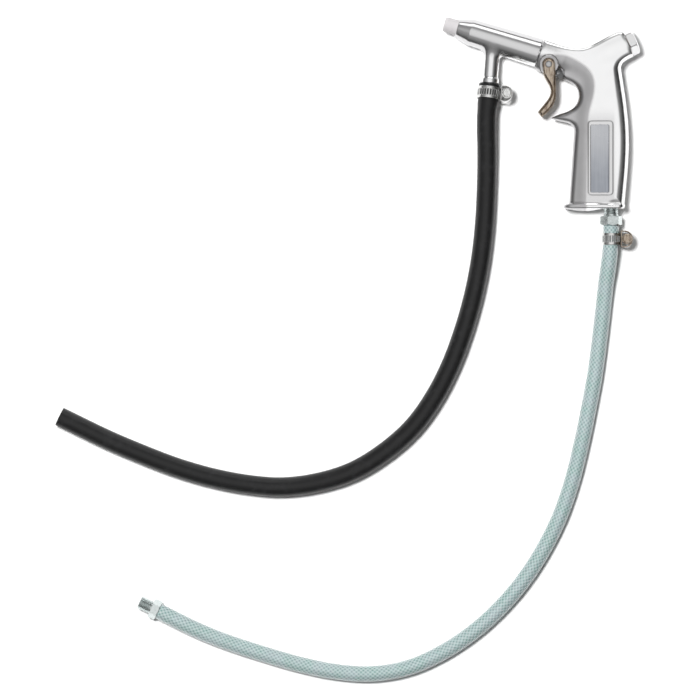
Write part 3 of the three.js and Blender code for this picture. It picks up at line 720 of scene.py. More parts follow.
def tube(line, along, profile, around=48):
    """A closed hose: `profile` lists (distance along, radius), out along the outside and back
    along the inside. Each circle stands square to the line: its sideways direction is level
    and its upward direction is square to both."""
    profile = np.asarray(profile, float)
    centre = np.stack([np.interp(profile[:, 0], along, line[:, k]) for k in range(3)], axis=-1)
    tangent = np.gradient(line, along, axis=0)
    forward = np.stack([np.interp(profile[:, 0], along, tangent[:, k]) for k in range(3)], axis=-1)
    forward /= np.linalg.norm(forward, axis=1, keepdims=True)
    side = np.cross(forward, [0, 0, 1.0])
    side /= np.linalg.norm(side, axis=1, keepdims=True)
    up = np.cross(side, forward)
    angle = np.arange(around) * 2 * math.pi / around
    points = (centre[:, None] + profile[:, 1, None, None]
              * (side[:, None] * np.cos(angle)[None, :, None] + up[:, None] * np.sin(angle)[None, :, None]))
    uv = np.stack(np.broadcast_arrays(angle[None, :] / (2 * math.pi), profile[:, :1]), axis=-1)
    faces = grid_faces(len(profile), around, wrap_rows=True)
    return points.reshape(-1, 3), faces, uv.reshape(-1, 2)


# %% The suction hose
SUCTION_START = STUB.outward([0, 43.9, 0])
SUCTION_CUFF = STUB.outward([0, 62.9, 0])
SUCTION_POINTS = [
    SUCTION_START, STUB.outward([0, 53, 0]), SUCTION_CUFF,
    (-84.4, -47, 0), (-84.6, -66, -0.6), (-84.2, -83, -2.4), (-84.2, -101, -4.1), (-84.6, -119, -4.9),
    (-86.4, -154, -4.9), (-90.4, -190, -4.9), (-97.4, -226, -4.9), (-107, -260, -4.9),
    (-119.6, -294, -4.9), (-136, -326, -4.9), (-157, -355, -4.9), (-184, -379, -4.9),
    (-215, -398, -4.9), (-249, -409, -4.9), (-285, -413.6, -4.9), (-320, -411, -4.9),
    (-356, -404, -4.9), (-390, -394, -4.9), (-424, -381, -4.9), (-457, -367, -4.9),
    (-482, -355, -4.9), (-503.5, -344.5, -4.9)]
suction_line, suction_along = smooth_line(SUCTION_POINTS)
SUCTION_LENGTH = suction_along[-1]
SUCTION_BORE = 6.4
BARB_BORE = 7.75
print("suction hose", round(SUCTION_LENGTH), "mm long")


def suction_profile(end):
    """Distance along and radius: a mouth stretched over the barb, a step down past it to the
    hose's own radius, a square cut, and the bore all the way back."""
    stations = np.arange(3, end - 1.5, 3.0)
    swell = 0.75 * (1 - np.array(eased_step(stations, 20, 27)))
    nip = 0.25 * np.exp(-((stations - 9.7) / 6.5) ** 4)
    outside = np.stack([stations, 9.5 + swell - nip], axis=-1)
    bores = np.where(stations < 21.5, BARB_BORE, SUCTION_BORE)
    inside = np.stack([stations, bores], axis=-1)[::-1]
    mouth = [(0.0, 9.6), (0.5, 10.1), (1.2, 10.25)]
    cut_end = [(end - 0.5, 9.5), (end - 0.1, 9.35), (end, 9.1), (end, 6.8), (end - 0.3, 6.45)]
    return np.concatenate([mouth, outside, cut_end, inside, [(0.2, BARB_BORE), (0.0, BARB_BORE + 0.3)]])


points, faces, uv = tube(suction_line, suction_along, suction_profile(SUCTION_LENGTH))
suction_hose = make_piece("suction_hose", points, faces, uv)


# %% The air hose
AIR_START = (37.4, -157.4, 0)
AIR_POINTS = [
    AIR_START, (37.2, -171, 0), (36.6, -181, -0.2), (34.9, -196, -1.6), (32.6, -213, -4.2),
    (30.8, -230, -6.2), (26.9, -265, -6.8), (22.2, -301, -6.8), (15.8, -336, -6.8), (8.6, -371, -6.8),
    (-0.4, -407, -6.8), (-12, -441, -6.8), (-27.6, -473, -6.8), (-46.6, -503, -6.8), (-70, -531, -6.8),
    (-97, -555.6, -6.8), (-127.6, -576, -6.8), (-160, -590.6, -6.8), (-196, -597, -6.8),
    (-232, -595, -6.8), (-267, -588, -6.8), (-302, -578, -6.8), (-336, -567, -6.8),
    (-360, -557.8, -6.4), (-380.3, -548.5, -5.9), (-406.2, -535.5, -5.9)]
air_line, air_along = smooth_line(AIR_POINTS)
AIR_LENGTH = air_along[-1]
print("air hose", round(AIR_LENGTH), "mm long")


def air_profile(end, outer, inner):
    """Distance along and radius of a hose with a barb in each end."""
    stations = np.arange(2.5, end - 1.5, 2.5)
    outside = np.stack([stations, np.full(stations.size, outer)], axis=-1)
    inside = np.stack([stations, np.full(stations.size, inner)], axis=-1)[::-1]
    start_lip = [(0.0, outer - 0.5), (0.15, outer - 0.15), (0.6, outer)]
    end_lip = [(end - 0.6, outer), (end - 0.15, outer - 0.15), (end, outer - 0.5), (end, inner)]
    return np.concatenate([start_lip, outside, end_lip, inside, [(0.0, inner)]])


points, faces, uv = tube(air_line, air_along, air_profile(AIR_LENGTH, 7.7, 4.55), 64)
air_hose = make_piece("air_hose", points, faces, uv)


# %% [markdown]
# ## The gun's body
#
# Seen from the side, the casting is a head that holds the barrel, a saddle, a housing for the
# valve that leans back, a grip and a foot with a lip. Cut across, it is a slab whose edges are
# rounded and whose thickness changes from place to place: thinnest round the finger opening,
# thicker past the crest line that runs beside it, and thickest at the back of the grip. So the
# field is "inside the outline" and "within the half thickness here", with a rounded edge.

# %% Outlines of the body
BODY_OUTLINE = drawn(
    (-29, 24.9), ((-14, 20.2), (-2, 16), (7, 16.8)), ((19, 18), (28, 27.5), (44.6, 33.2)),
    (49, 32.2), (58.6, 9.8), ((46.5, 4.5), (47, -3.9)), ((49.4, -22), (54.8, -50), (54.5, -78)),
    ((54.3, -100), (51.5, -122), (50, -139.5)), (-3.8, -139.5), (-3.2, -128), (1.1, -66),
    ((1.4, -58), (-6, -56.6)), (-20.2, -53.3), ((-21.6, -52.2), (-20.2, -51.3)), (-12.3, -47.8),
    ((1, -45), (6.6, -37), (5.4, -28.2)), ((4.6, -19.6), (-1, -16.6), (-15.7, -12.3)),
    (-31.4, -6.9), (-38, -2.5))
FRONT_SLOPE = drawn(
    (-20.4, 9.1), ((-9, 10.5), (-1, 6.5), (8.4, 0.4)), ((15, -4), (20.3, -10), (20.3, -20.9)),
    ((20.3, -30), (17.2, -38), (15.9, -43.4)), ((14.8, -48), (14.7, -50), (14.4, -56)),
    (12.2, -150), (-60, -150), (-60, 9.1))
body_edge, slope_edge = chart(BODY_OUTLINE), chart(FRONT_SLOPE, step=0.5)
RIM = 5.0
BACK_ROUNDING = 11.0
PANEL = ((17.0, -125.2), (34.4, -59.2), 0.8)
THIN_HALF, CREST_HALF, BACK_HALF = 8.9, 12.6, 14.2


def box_distance(x, y, low, high, corner):
    """Distance to an upright rectangle with round corners."""
    half_x, half_y = (high[0] - low[0]) / 2 - corner, (high[1] - low[1]) / 2 - corner
    away_x = np.abs(x - (low[0] + high[0]) / 2) - half_x
    away_y = np.abs(y - (low[1] + high[1]) / 2) - half_y
    return (np.hypot(np.maximum(away_x, 0), np.maximum(away_y, 0))
            + np.minimum(np.maximum(away_x, away_y), 0) - corner)


def body_half_thickness(x, y):
    """Half the body's thickness: down the front slope, up towards the back of the grip, and
    thinner along the finger spur, with a raised frame round the panel."""
    past_crest = -slope_edge(x, y)
    slope = eased_step(past_crest, -2.5, 17)
    back = (BACK_HALF - CREST_HALF) * eased_step(x, 14, 40) * eased_step(-y, -4, 40)
    spur = 2.6 * eased_step(-x, 0, 20) * eased_step(-y, 40, 46) * eased_step(y, -64, -58)
    frame = 0.55 * eased_step(-box_distance(x, y, (13.6, -128.6), (39.3, -54.6), 4), 0, 1.6)
    return CREST_HALF + back - (CREST_HALF - THIN_HALF) * slope - spur + frame


# %% [markdown]
# Turned shapes inside a casting are fields too. A profile of radius and height is mirrored to
# the other side of its axis, and its distance is then read at (distance from axis, height).

# %% Turned fields
def turned_field(profile, station, step=0.25):
    """The field of a solid of revolution about a station's heading."""
    profile = np.asarray(profile, float)
    outline = dense(np.concatenate([profile, profile[::-1] * [-1, 1], profile[:1]])[:-1], 1.0)
    read = chart(outline, step=step)

    def field(x, y, z):
        across, along = station.inward(x, y)
        return read(np.hypot(across, z), along)
    return field


head_field = turned_field(
    [(0.01, -34), (8, -32), (11.5, -24), (13.7, -13), (14.3, -6), (14.3, 5), (0.01, 5)], BARREL)
housing_field = turned_field(
    [(0.01, -46), (7, -45), (10.5, -36), (12.2, -27), (12.6, -20), (12.6, 5), (0.01, 5)], VALVE)
chamber_field = turned_field(
    [(0.01, 3), (10.2, 3), (10.2, -10.4), (8, -10.6), (8, -42.6), (4, -42.8), (4, -60), (4.6, -60.2),
     (4.6, -74), (0.01, -74)], VALVE)
EAR_ROOM = drawn((-15, 0.5), *arc(PIN[0], PIN[1], 9, 0, 180)[1:], (-31.8, -6), (-31.4, -30), (-9, -30),
                 (-9, -6), (-12, -3))
CHANNEL_ROOM = drawn((-31.6, -5.5), (-31.6, -30), (-6, -30), (-10.4, -15), (-9, -6))
ear_edge, channel_edge = chart(EAR_ROOM), chart(CHANNEL_ROOM)
GLAND_AT, GLAND_CORNER = 70.2, 5.2


def trigger_room(x, y, z):
    """Where the trigger's ears, its channel and the gland nut stand clear of the casting."""
    across, along = VALVE.inward(x, y)
    nut = np.maximum(np.hypot(across, z) - GLAND_CORNER - 0.6, along + GLAND_AT)
    lug = np.maximum(np.maximum(np.hypot(x - PIN[0], y - PIN[1]) - 9.3, np.abs(z) - 5.6), -nut)
    gland = np.maximum(np.abs(across + 0.6) - 7, along + GLAND_AT)
    ears = np.maximum(ear_edge(x, y), 5.6 - np.abs(z))
    middle = np.maximum(np.minimum(channel_edge(x, y), gland), -lug)
    return np.minimum(np.minimum(ears, middle), nut)


def air_ways(x, y, z):
    """The sunk panel, the inlet's socket, the riser, the valve chamber and the way out."""
    socket = rod(x, y, z, INLET, 7.4, -145, -124.6)
    riser = rod(x, y, z, INLET, 4, -126, 12)
    outlet = rod(x, y, z, BARREL, 3, -41, 13)
    jet_socket = rod(x, y, z, BARREL, 5.3, -6, 13)
    return np.minimum(np.minimum(socket, riser), np.minimum(np.minimum(outlet, jet_socket),
                                                            chamber_field(x, y, z)))


def foot_lip(x, y, z):
    """The lip under the grip: a long rounded plate, cut square across, domed underneath."""
    from_side = box_distance(x, z, (-8.8, -14.5), (50, 14.5), 7)
    middle, half = -138.85, 2.15
    plate = rounded(from_side, np.abs(y - middle) - half, 1.9)
    dome = (np.sqrt(((x - 11) / 17) ** 2 + ((y + 139.5) / 3.6) ** 2 + (z / 11) ** 2) - 1) * 3.6
    return joined(plate, dome, 1.5)


def body_field(x, y, z):
    """The casting: slab, head and housing joined with fillets, then everything cut away."""
    edge = body_edge(x, y)
    radius = RIM + (BACK_ROUNDING - RIM) * eased_step(x, 26, 44) * eased_step(-y, -12, 6)
    half = body_half_thickness(x, y)
    slab = rounded(edge, np.abs(z) - half, np.minimum(radius, half - 0.5))
    shape = joined(joined(slab, head_field(x, y, z), 6), housing_field(x, y, z), 6)
    shape = joined(shape, foot_lip(x, y, z), 3)
    across, along = BARREL.inward(x, y)
    shape = rounded(shape, along + 0.3, 0.8)
    spigot = np.maximum(np.hypot(across, z) - 10, np.maximum(-3 - along, along - 11.5))
    shape = np.minimum(shape, spigot)
    shape = rounded(shape, VALVE.inward(x, y)[1], 0.5)
    panel = np.maximum(box_distance(x, y, *PANEL), 12.35 - np.abs(z))
    shape = cut(shape, panel, 0.5)
    shape = cut(shape, trigger_room(x, y, z), 0.8)
    return np.maximum(shape, -air_ways(x, y, z))


gun_body = cast_piece("gun_body", body_field, (-51, -144.4, -15.6), (60.6, 35.6, 15.6), 0.72)


# %% Where the casting is satin and painted darker as shade, and where it is brushed
def carry(piece, name, values):
    """Stores one number for each point of a mesh."""
    made = piece.data.attributes.new(name, "FLOAT", "POINT")
    made.data.foreach_set("value", np.ascontiguousarray(values, dtype=np.float32))


def drawing_points(piece):
    """A piece's points in drawing millimetres."""
    flat = np.zeros(len(piece.data.vertices) * 3)
    piece.data.vertices.foreach_get("co", flat)
    return (flat.reshape(-1, 3) - DATUM) / MM


x, y, z = drawing_points(gun_body).T
# Satin with its painted shade: full on the front slope, 0.6 on the lower grip round the panel.
on_slope = 1 - eased_step(slope_edge(x, y), -1.0, 2.0)
round_panel = 0.6 * eased_step(-y, 40, 62) * (1 - eased_step(x, 38, 42)) * eased_step(y, -137, -134)
in_panel = box_distance(x, y, *PANEL) < 0.1
carry(gun_body, "satin_and_shade", np.maximum(on_slope, round_panel))
# The panel is painted darker and bluer towards the bottom of the grip: painted shade.
carry(gun_body, "panel", in_panel * (0.55 + 0.45 * eased_step(-y, 62, 118)))

# %% [markdown]
# ## The barrel
#
# The mixing barrel is a second casting: a slightly tapered tube with a cone at the nose and a
# stub that the suction hose is pushed over. It is the same kind of field. The inside is open
# all the way, for the spigot, the chamber, the nozzle's socket and the stub's bore.

# %% Barrel
barrel_outside = turned_field([(0.01, 0), (14.4, 0), (13.1, 70.8), (9.1, 84.3), (0.01, 84.3)], BARREL)
barrel_inside = turned_field(
    [(0.01, -3), (10.3, -3), (10.3, 13.5), (8, 13.7), (8, 52), (6, 54), (6, 57.2), (8.1, 57.4), (8.1, 90),
     (0.01, 90)], BARREL)
stub_outside = turned_field(
    [(0.01, 4), (8, 4), (8, 37.4), (8.5, 38.4), (9.1, 39.3), (9.1, 43.3), (7, 43.3), (7, 49.9), (7.6, 50.9),
     (7, 56.9), (7.6, 57.9), (6.6, 63.9), (0.01, 63.9)], STUB)


def barrel_field(x, y, z):
    """Tube and stub joined with a wide fillet, minus both bores."""
    shape = joined(barrel_outside(x, y, z), stub_outside(x, y, z), 5.5)
    shape = rounded(shape, -BARREL.inward(x, y)[1], 0.8)
    shape = rounded(shape, BARREL.inward(x, y)[1] - 84.3, 0.8)
    bores = np.minimum(barrel_inside(x, y, z), rod(x, y, z, STUB, 5, -1, 70))
    return np.maximum(shape, -bores)


barrel_corners = np.array([BARREL.outward([side * 15, s, 0])[:2] for side in (-1, 1) for s in (-1, 85.5)])
stub_corners = np.array([STUB.outward([side * 10, s, 0])[:2] for side in (-1, 1) for s in (0, 65)])
corners = np.concatenate([barrel_corners, stub_corners])
mixing_barrel = cast_piece(
    "mixing_barrel", barrel_field, (*corners.min(axis=0), -15.4), (*corners.max(axis=0), 15.4), 0.62)
x, y, z = drawing_points(mixing_barrel).T
# The barrel is painted 0.7 of the way to the darker satin grey, as painted shade; the stub only 0.1.
carry(mixing_barrel, "satin_and_shade", 0.7 - 0.6 * eased_step(STUB.inward(x, y)[1], 14, 20))

# %% [markdown]
# ## The trigger
#
# The trigger is a pressed channel: a strip of steel folded to a U, open towards the valve, with
# two ears that sit on the pin. Its field is a rounded outline minus the inside of the channel.
# Each cheek is sunk a little inside its rim, as a pressing is, and dips along the lever.

# %% Trigger
EAR = 6.4


def trigger_outline(wall):
    """The side view of the lever, or of the inside of its channel when wall is the sheet."""
    points = [(-24 - EAR + wall, 0.5 + 20 * np.sign(wall)), (-28.8 + wall, -9.6)]
    curve = [((-28.2 + wall, -14), (-21.8 + wall, -20), (-21.8 + wall, -25.7)),
             ((-21.8 + wall, -32), (-26.6 + wall, -36.3), (-34.6 + 2 * wall, -46.2 + wall))]
    if wall:
        back = [(-30.3, -51.4 + 1.5 * wall), (20, -51.4 + 1.5 * wall), (20, 20.5)]
    else:
        ear = arc(PIN[0], PIN[1], EAR, 0, 180)
        back = [(-30.6, -51.3), ((-22, -45), (-16.9, -38), (-16.8, -30.1)), (-17, -17.5),
                ((-17, -10), (-24 + EAR, -4), (-24 + EAR, 0.5)), *ear[1:]]
    return drawn(points[0], points[1], *curve, *back)


SHEET = 1.5
trigger_edge, channel_inside = chart(trigger_outline(0), step=0.2), chart(trigger_outline(SHEET), step=0.25)


def trigger_field(x, y, z):
    """Outline with rounded edges and sunk cheeks, minus the channel, the top and the pin hole."""
    edge = trigger_edge(x, y)
    lever = eased_step(-y, 8, 13)
    cheek = 0.8 * eased_step(-edge, 0.9, 1.6) * (1 - lever) + 1.5 * eased_step(-edge, 0.3, 2.6) * lever
    outside = rounded(edge, np.abs(z) - 7.5 + cheek, 0.75)
    inside = np.maximum(channel_inside(x, y), np.abs(z) - 6.0 + 0.7 * lever)
    top = np.maximum(-8.8 - y, np.abs(z) - 6.0)
    hole = np.hypot(x - PIN[0], y - PIN[1]) - 2.3
    return np.maximum(cut(outside, np.minimum(inside, top), 0.3), -hole)


cast_piece("trigger", trigger_field, (-36.2, -53, -8.2), (-15.6, 6.6, 8.2), 0.34)

# %% [markdown]
# ## Turned and threaded parts
#
# The nozzle, the cap, the nipples, the pin and the gland nut come off a lathe or a hex bar.
# Each is a profile carried round its axis, with eased corners.

# %% Nozzle
NOSE, STICK_OUT = 84.3, 13.2
NOZZLE_END = NOSE + STICK_OUT
NOZZLE_START = NOZZLE_END - 39.8
nozzle_profile = eased([
    (5.4, NOZZLE_START), (7.8, NOZZLE_START), (7.8, NOZZLE_START + 6.6), (6.2, NOZZLE_START + 6.6),
    (6.2, NOZZLE_START + 9.4), (7.8, NOZZLE_START + 9.4), (7.8, NOSE), (7.5, NOZZLE_END - 4),
    (7.4, NOZZLE_END - 2.4), (6.9, NOZZLE_END - 0.7), (5.2, NOZZLE_END), (3.4, NOZZLE_END),
    (3.0, NOZZLE_END - 0.5), (3.0, NOZZLE_START + 12), (5.4, NOZZLE_START)], 0.8)
turned_piece("ceramic_nozzle", BARREL, nozzle_profile, 112)

# %% [markdown]
# The rear cap is a cast hexagon with a domed, chamfered face and a coin of flat metal in the
# middle. It closes the valve chamber, so its plug and pocket are turned on the same axis.

# %% Rear cap
CAP_CORNER, CAP_THICK, CAP_TURN = 13.3, 8.5, math.radians(-18)
cap_profile = eased([
    (0, CAP_THICK - 0.2), (5.5, CAP_THICK), (9.6, CAP_THICK), (12.0, CAP_THICK - 0.9), (13.3, CAP_THICK - 2.4),
    (13.3, 1.3), (12.5, 0.4), (9.7, 0.4), (9.7, -9), (5.5, -9), (5.5, -3), (0, -3)], 0.5)
rear_cap = turned_piece("rear_cap", VALVE, dense(cap_profile, 0.8), 144,
                        hexagonal(CAP_CORNER, 0.38, CAP_THICK + 1, CAP_TURN))
carry(rear_cap, "satin_and_shade", np.zeros(len(rear_cap.data.vertices)))

# %% [markdown]
# Both air nipples are turned from hexagonal bar. A chamfer on each end of the hexagon makes the
# arcs that one sees on any hex nut, because a cone meets flats. The threads are rounded saw
# teeth, and the barbs are saw-toothed rings that hold the hose.

# %% Nipples
def barb_profile(top, length, teeth, radius=4.4):
    """Saw-tooth rings from `top` down: a long ramp out, then a short step in."""
    pitch = length / teeth
    ring_top = top - np.arange(teeth)[:, None] * pitch
    tooth = np.array([(radius - 1, 0.1), (radius, 0.2), (radius - 1, 1.0)])
    return [(r, t - share * pitch) for t in ring_top[:, 0] for r, share in tooth]


HEX_TOP, HEX_BOTTOM, HEX_CORNER, HEX_TURN = -147.9, -157.1, 10.95, math.radians(21)
PIPE_PITCH = 1.337
inlet_profile = [
    (2.8, -127), (6.1, -127), (7.1, -128.2), (7.1, HEX_TOP), (9.3, HEX_TOP), (HEX_CORNER, HEX_TOP - 1.1),
    (HEX_CORNER, HEX_BOTTOM + 1.1), (9.3, HEX_BOTTOM), (3.5, HEX_BOTTOM),
    *barb_profile(HEX_BOTTOM, 26, 4), (2.8, HEX_BOTTOM - 26), (2.8, -127)]
turned_piece(
    "inlet_nipple", INLET, dense(eased(inlet_profile, 0.25, 2), 0.3), 120,
    in_turn(threaded(7.1, 0.55, PIPE_PITCH, -146.5, -128),
            hexagonal(HEX_CORNER, HEX_BOTTOM - 0.01, HEX_TOP + 0.01, HEX_TURN)))

SUPPLY_HEX, SUPPLY_END = 8.1, 20.9
supply_profile = [
    (2.8, SUPPLY_END), (5.6, SUPPLY_END), (6.58, SUPPLY_END - 1), (6.58, SUPPLY_HEX + 1.6), (5.9, SUPPLY_HEX + 1.2),
    (5.9, SUPPLY_HEX), (8.4, SUPPLY_HEX), (9.8, SUPPLY_HEX - 0.9), (9.8, 1.2), (8.4, 0.3), (3.5, 0.3),
    *barb_profile(0.3, 24, 4), (2.8, -23.7), (2.8, SUPPLY_END)]
supply = turned_piece(
    "supply_nipple", SUPPLY, dense(eased(supply_profile, 0.25, 2), 0.22), 120,
    in_turn(threaded(6.58, 0.75, PIPE_PITCH, SUPPLY_HEX + 1.5, SUPPLY_END + 0.3),
            hexagonal(9.8, 0.29, SUPPLY_HEX + 0.01, math.radians(30))))

# %% [markdown]
# The gland nut keeps the packing round the valve stem, and the stem runs through it to the
# trigger. The pin has a domed head above and a clip below.

# %% Gland nut, stem and pin
gland_profile = eased([
    (2.3, -60.6), (4.3, -60.6), (4.3, -70.2), (4.4, -70.2), (5.2, -70.9), (5.2, -75.6), (4.4, -76.3),
    (2.3, -76.3), (2.3, -60.6)], 0.2)
turned_piece("gland_nut", VALVE, dense(gland_profile, 0.6), 96, hexagonal(GLAND_CORNER, -76.4, -70.1))
stem_profile = eased([(0, -86.5), (0.9, -86.3), (1.7, -85.5), (2.0, -84.4), (2.0, -31), (0, -31)], 0.2)
turned_piece("valve_stem", VALVE, dense(stem_profile, 2.0), 40)
pin_profile = dense(eased([
    (0, -9.4), (1.7, -9.4), (2.0, -9.0), (2.0, -8.8), (1.4, -8.8), (1.4, -7.8), (2.0, -7.8), (2.0, 7.8),
    (3.2, 7.8), (3.2, 8.5), (2.9, 8.9), (1.6, 9.2), (0, 9.3)], 0.2), 1.0)
turned_piece("trigger_pin", Station(PIN[0], PIN[1], 90), pin_profile, 48, upright=True)

# %% [markdown]
# The valve spring is a wire wound round the stem's axis, between the disc and the cap. It is the one metal part that
# changes its shape: when the stem moves back, the coil gives way by the same distance. Here it is built at rest. The
# point of its fixed end is worked out and it gets a mesh of its own, but nothing flattens it.

# %% Valve spring
COIL_START, COIL_END, COIL_TURNS, COIL_RADIUS, WIRE_RADIUS = -31.6, -4.1, 8, 4.2, 0.65


def wound_wire(columns=12, steps=36):
    """A circle carried along a helix. The circle's two directions are the helix's own radius
    and the cross of the heading with that radius, and it shrinks to a point at both ends."""
    share = np.concatenate([[0], np.linspace(0, 1, COIL_TURNS * steps + 1), [1]])
    wire = np.where(np.arange(share.size) % (share.size - 1) == 0, 0, WIRE_RADIUS)
    angle = share * COIL_TURNS * 2 * math.pi
    level = np.zeros(share.size)
    radial = np.stack([np.cos(angle), level, np.sin(angle)], axis=-1)
    rise = (COIL_END - COIL_START) / (COIL_TURNS * 2 * math.pi)
    heading = np.stack([-COIL_RADIUS * np.sin(angle), level + rise, COIL_RADIUS * np.cos(angle)], axis=-1)
    heading /= np.linalg.norm(heading, axis=1, keepdims=True)
    across = np.cross(heading, radial)
    centre = COIL_RADIUS * radial + np.stack([level, COIL_START + rise * angle, level], axis=-1)
    turn = (np.arange(columns) * 2 * math.pi / columns)[None, :, None]
    points = centre[:, None] + wire[:, None, None] * (radial[:, None] * np.cos(turn) + across[:, None] * np.sin(turn))
    return points.reshape(-1, 3), grid_faces(share.size, columns)


points, faces = wound_wire()
spring = make_piece("valve_spring", VALVE.outward(points), faces)
coil_fixed_end = [float(v) for v in to_model(VALVE.outward([0, COIL_END, 0]))]
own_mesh(spring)

# %% [markdown]
# ## Pieces that keep their CAD shape
#
# The small parts inside the valve and under the clamps are right as they are. Each gets the
# finish of its own material, from the record's list of slots.

# %% Finishes for CAD nodes
for node_name, node in frame["nodes"].items():
    finish = FINISHES[slot_of_node[node_name]]
    if not node.material_slots:
        node.data.materials.append(finish)
    for material_slot in node.material_slots:
        material_slot.material = finish
print(len(frame["nodes"]), "CAD nodes dressed")

# %% [markdown]
# ## The worm-drive clamps
#
# A clamp is a band with slots, a pressed housing and a screw whose thread bites the slots. The band is a ring whose
# face dips in at each slot. A real slot goes right through, so each dip's floor takes the colour of the hose below
# it. On the clear hose that colour is a darker grey, painted shade inside the slot. The housing is a D-shaped strip,
# so one closed loop is carried up, over the rim and down the inside. The screw is a field, because a slot cut across
# a hexagon has no profile.

# %% Clamp parts
CLAMP_WIDE, CLAMP_THICK = 11.7, 0.7
SLOT_TALL, SLOT_WIDE, SLOT_PITCH, SLOT_DEPTH = 6.1, 1.3, 2.7, 0.55
HOUSING_DEEP, HOUSING_TALL, HOUSING_LONG, HOUSING_WALL = 13.3, 14.0, 16.2, 1.0
SHANK, FLANGE, HEX_HEAD, HEAD_TALL = 3.2, 5.1, 4.5, 5.2


def leaning(station, at, lean, tilt=0.0):
    """Maps a clamp's own coordinates to the drawing: a lean about X and a tilt about Z, then
    `at` mm along the hose."""
    c, s = math.cos(math.radians(lean)), math.sin(math.radians(lean))
    tc, ts = math.cos(math.radians(tilt)), math.sin(math.radians(tilt))

    def place(points):
        x, y, z = np.asarray(points, float).T
        x, y = tc * x - ts * y, ts * x + tc * y
        return station.outward(np.stack([x, at + c * y - s * z, s * y + c * z], axis=-1))
    return place


def band_points(radius):
    """A ring's face whose radius dips by SLOT_DEPTH in each slot: the dip is a product of a
    round-edged box along the ring and one across it. With the points and faces come numbers
    that are 1 on the floors of the slots."""
    count = round(2 * math.pi * (radius + CLAMP_THICK) / SLOT_PITCH)
    columns = count * 12
    half = CLAMP_WIDE / 2
    across = np.concatenate([[-half, -half + 0.12, -half + 0.35], np.linspace(-half + 0.8, half - 0.8, 23),
                             [half - 0.35, half - 0.12, half]])
    edge = np.array([0.5, 0.15, 0.03])
    outer = radius + CLAMP_THICK - np.concatenate([edge, np.zeros(23), edge[::-1]])
    angle = np.arange(columns) * 2 * math.pi / columns
    place = (angle * count / (2 * math.pi)) % 1.0 - 0.5
    along = 1 - eased_step(np.abs(place) * SLOT_PITCH, SLOT_WIDE / 2 - 0.15, SLOT_WIDE / 2 + 0.25)
    tall = 1 - eased_step(np.abs(across), SLOT_TALL / 2 - 0.2, SLOT_TALL / 2 + 0.3)
    sunk = tall[:, None] * along[None, :]
    outside = outer[:, None] - SLOT_DEPTH * sunk
    radii = np.concatenate([outside, np.full((2, columns), radius)])
    heights = np.repeat(np.concatenate([across, [half, -half]])[:, None], columns, axis=1)
    points = np.stack([radii * np.sin(angle), heights, radii * np.cos(angle)], axis=-1)
    in_slot = np.concatenate([sunk > 0.3, np.zeros((2, columns))])
    return points.reshape(-1, 3), grid_faces(len(radii), columns, wrap_rows=True), in_slot.reshape(-1)


def housing_points(side, inner):
    """A D-shaped loop carried up the outside, over a round rim and down the inside."""
    half = HOUSING_LONG / 2
    bulge = inner + HOUSING_DEEP + 1
    corner = 1.2
    loop = np.concatenate([
        [(inner + corner, -half)],
        bezier((inner + 4, -half), (bulge, -half), (bulge, half), (inner + 4, half), steps=48),
        [(inner + corner, half)], bezier((inner + corner, half), (inner, half), (inner, half - corner), steps=5),
        bezier((inner, -half + corner), (inner, -half), (inner + corner, -half), steps=5)[:-1]])
    loop = np.concatenate([loop[:1], [(inner + 4, -half)], loop[1:]])
    ahead = np.roll(loop, -1, axis=0) - np.roll(loop, 1, axis=0)
    outward = np.stack([ahead[:, 1], -ahead[:, 0]], axis=-1)
    outward /= np.linalg.norm(outward, axis=1, keepdims=True)
    top = HOUSING_TALL / 2
    bead = 0.35
    rows = [(0, -top + bead), (0, -top * 0.4), (0, top * 0.4), (0, top - bead), (0.1, top - 0.1), (bead, top),
            (HOUSING_WALL - bead, top), (HOUSING_WALL - 0.1, top - 0.1), (HOUSING_WALL, top - bead),
            (HOUSING_WALL, 0), (HOUSING_WALL, -top + bead), (HOUSING_WALL - 0.1, -top + 0.1),
            (HOUSING_WALL - bead, -top), (bead, -top), (0.1, -top + 0.1)]
    rows = np.asarray(rows)
    flat = loop[None] - rows[:, :1, None] * outward[None]
    heights = np.repeat(rows[:, 1:], len(loop), axis=1)
    points = np.stack([side * flat[..., 0], flat[..., 1], heights], axis=-1)
    return points.reshape(-1, 3), grid_faces(len(rows), len(loop), wrap_rows=True)


def screw_field(x, y, z):
    """A slotted hexagon with a round flange over a threaded shank: the thread is a saw tooth of
    height minus turn."""
    top = HOUSING_TALL / 2 + 0.3
    away = np.hypot(x, y)
    turn = np.arctan2(y, x)
    from_flat = (turn % (math.pi / 3)) - math.pi / 6
    hexagon = away * np.cos(from_flat) - HEX_HEAD * math.cos(math.pi / 6)
    head = rounded(hexagon, np.maximum(top - z, z - top - HEAD_TALL), 0.35)
    head = rounded(head, (z - top - HEAD_TALL + 0.35) * 0.8 + (away - HEX_HEAD + 0.5) * 0.55, 0.2)
    flange = rounded(away - FLANGE, np.maximum(top - z, z - top - 1.1), 0.4)
    tooth = np.abs(((z - turn * SLOT_PITCH / (2 * math.pi)) / SLOT_PITCH) % 1.0 - 0.5) * 2
    shank = np.maximum(away - SHANK + 0.7 * eased_step(tooth, 0.25, 0.75), np.maximum(-7.0 - z, z - top - 0.5))
    slot = np.maximum(np.abs(x * 0.85 + y * 0.53) - 0.75, top + HEAD_TALL - 1.2 - z)
    return cut(np.minimum(np.minimum(head, flange), shank), slot, 0.15)


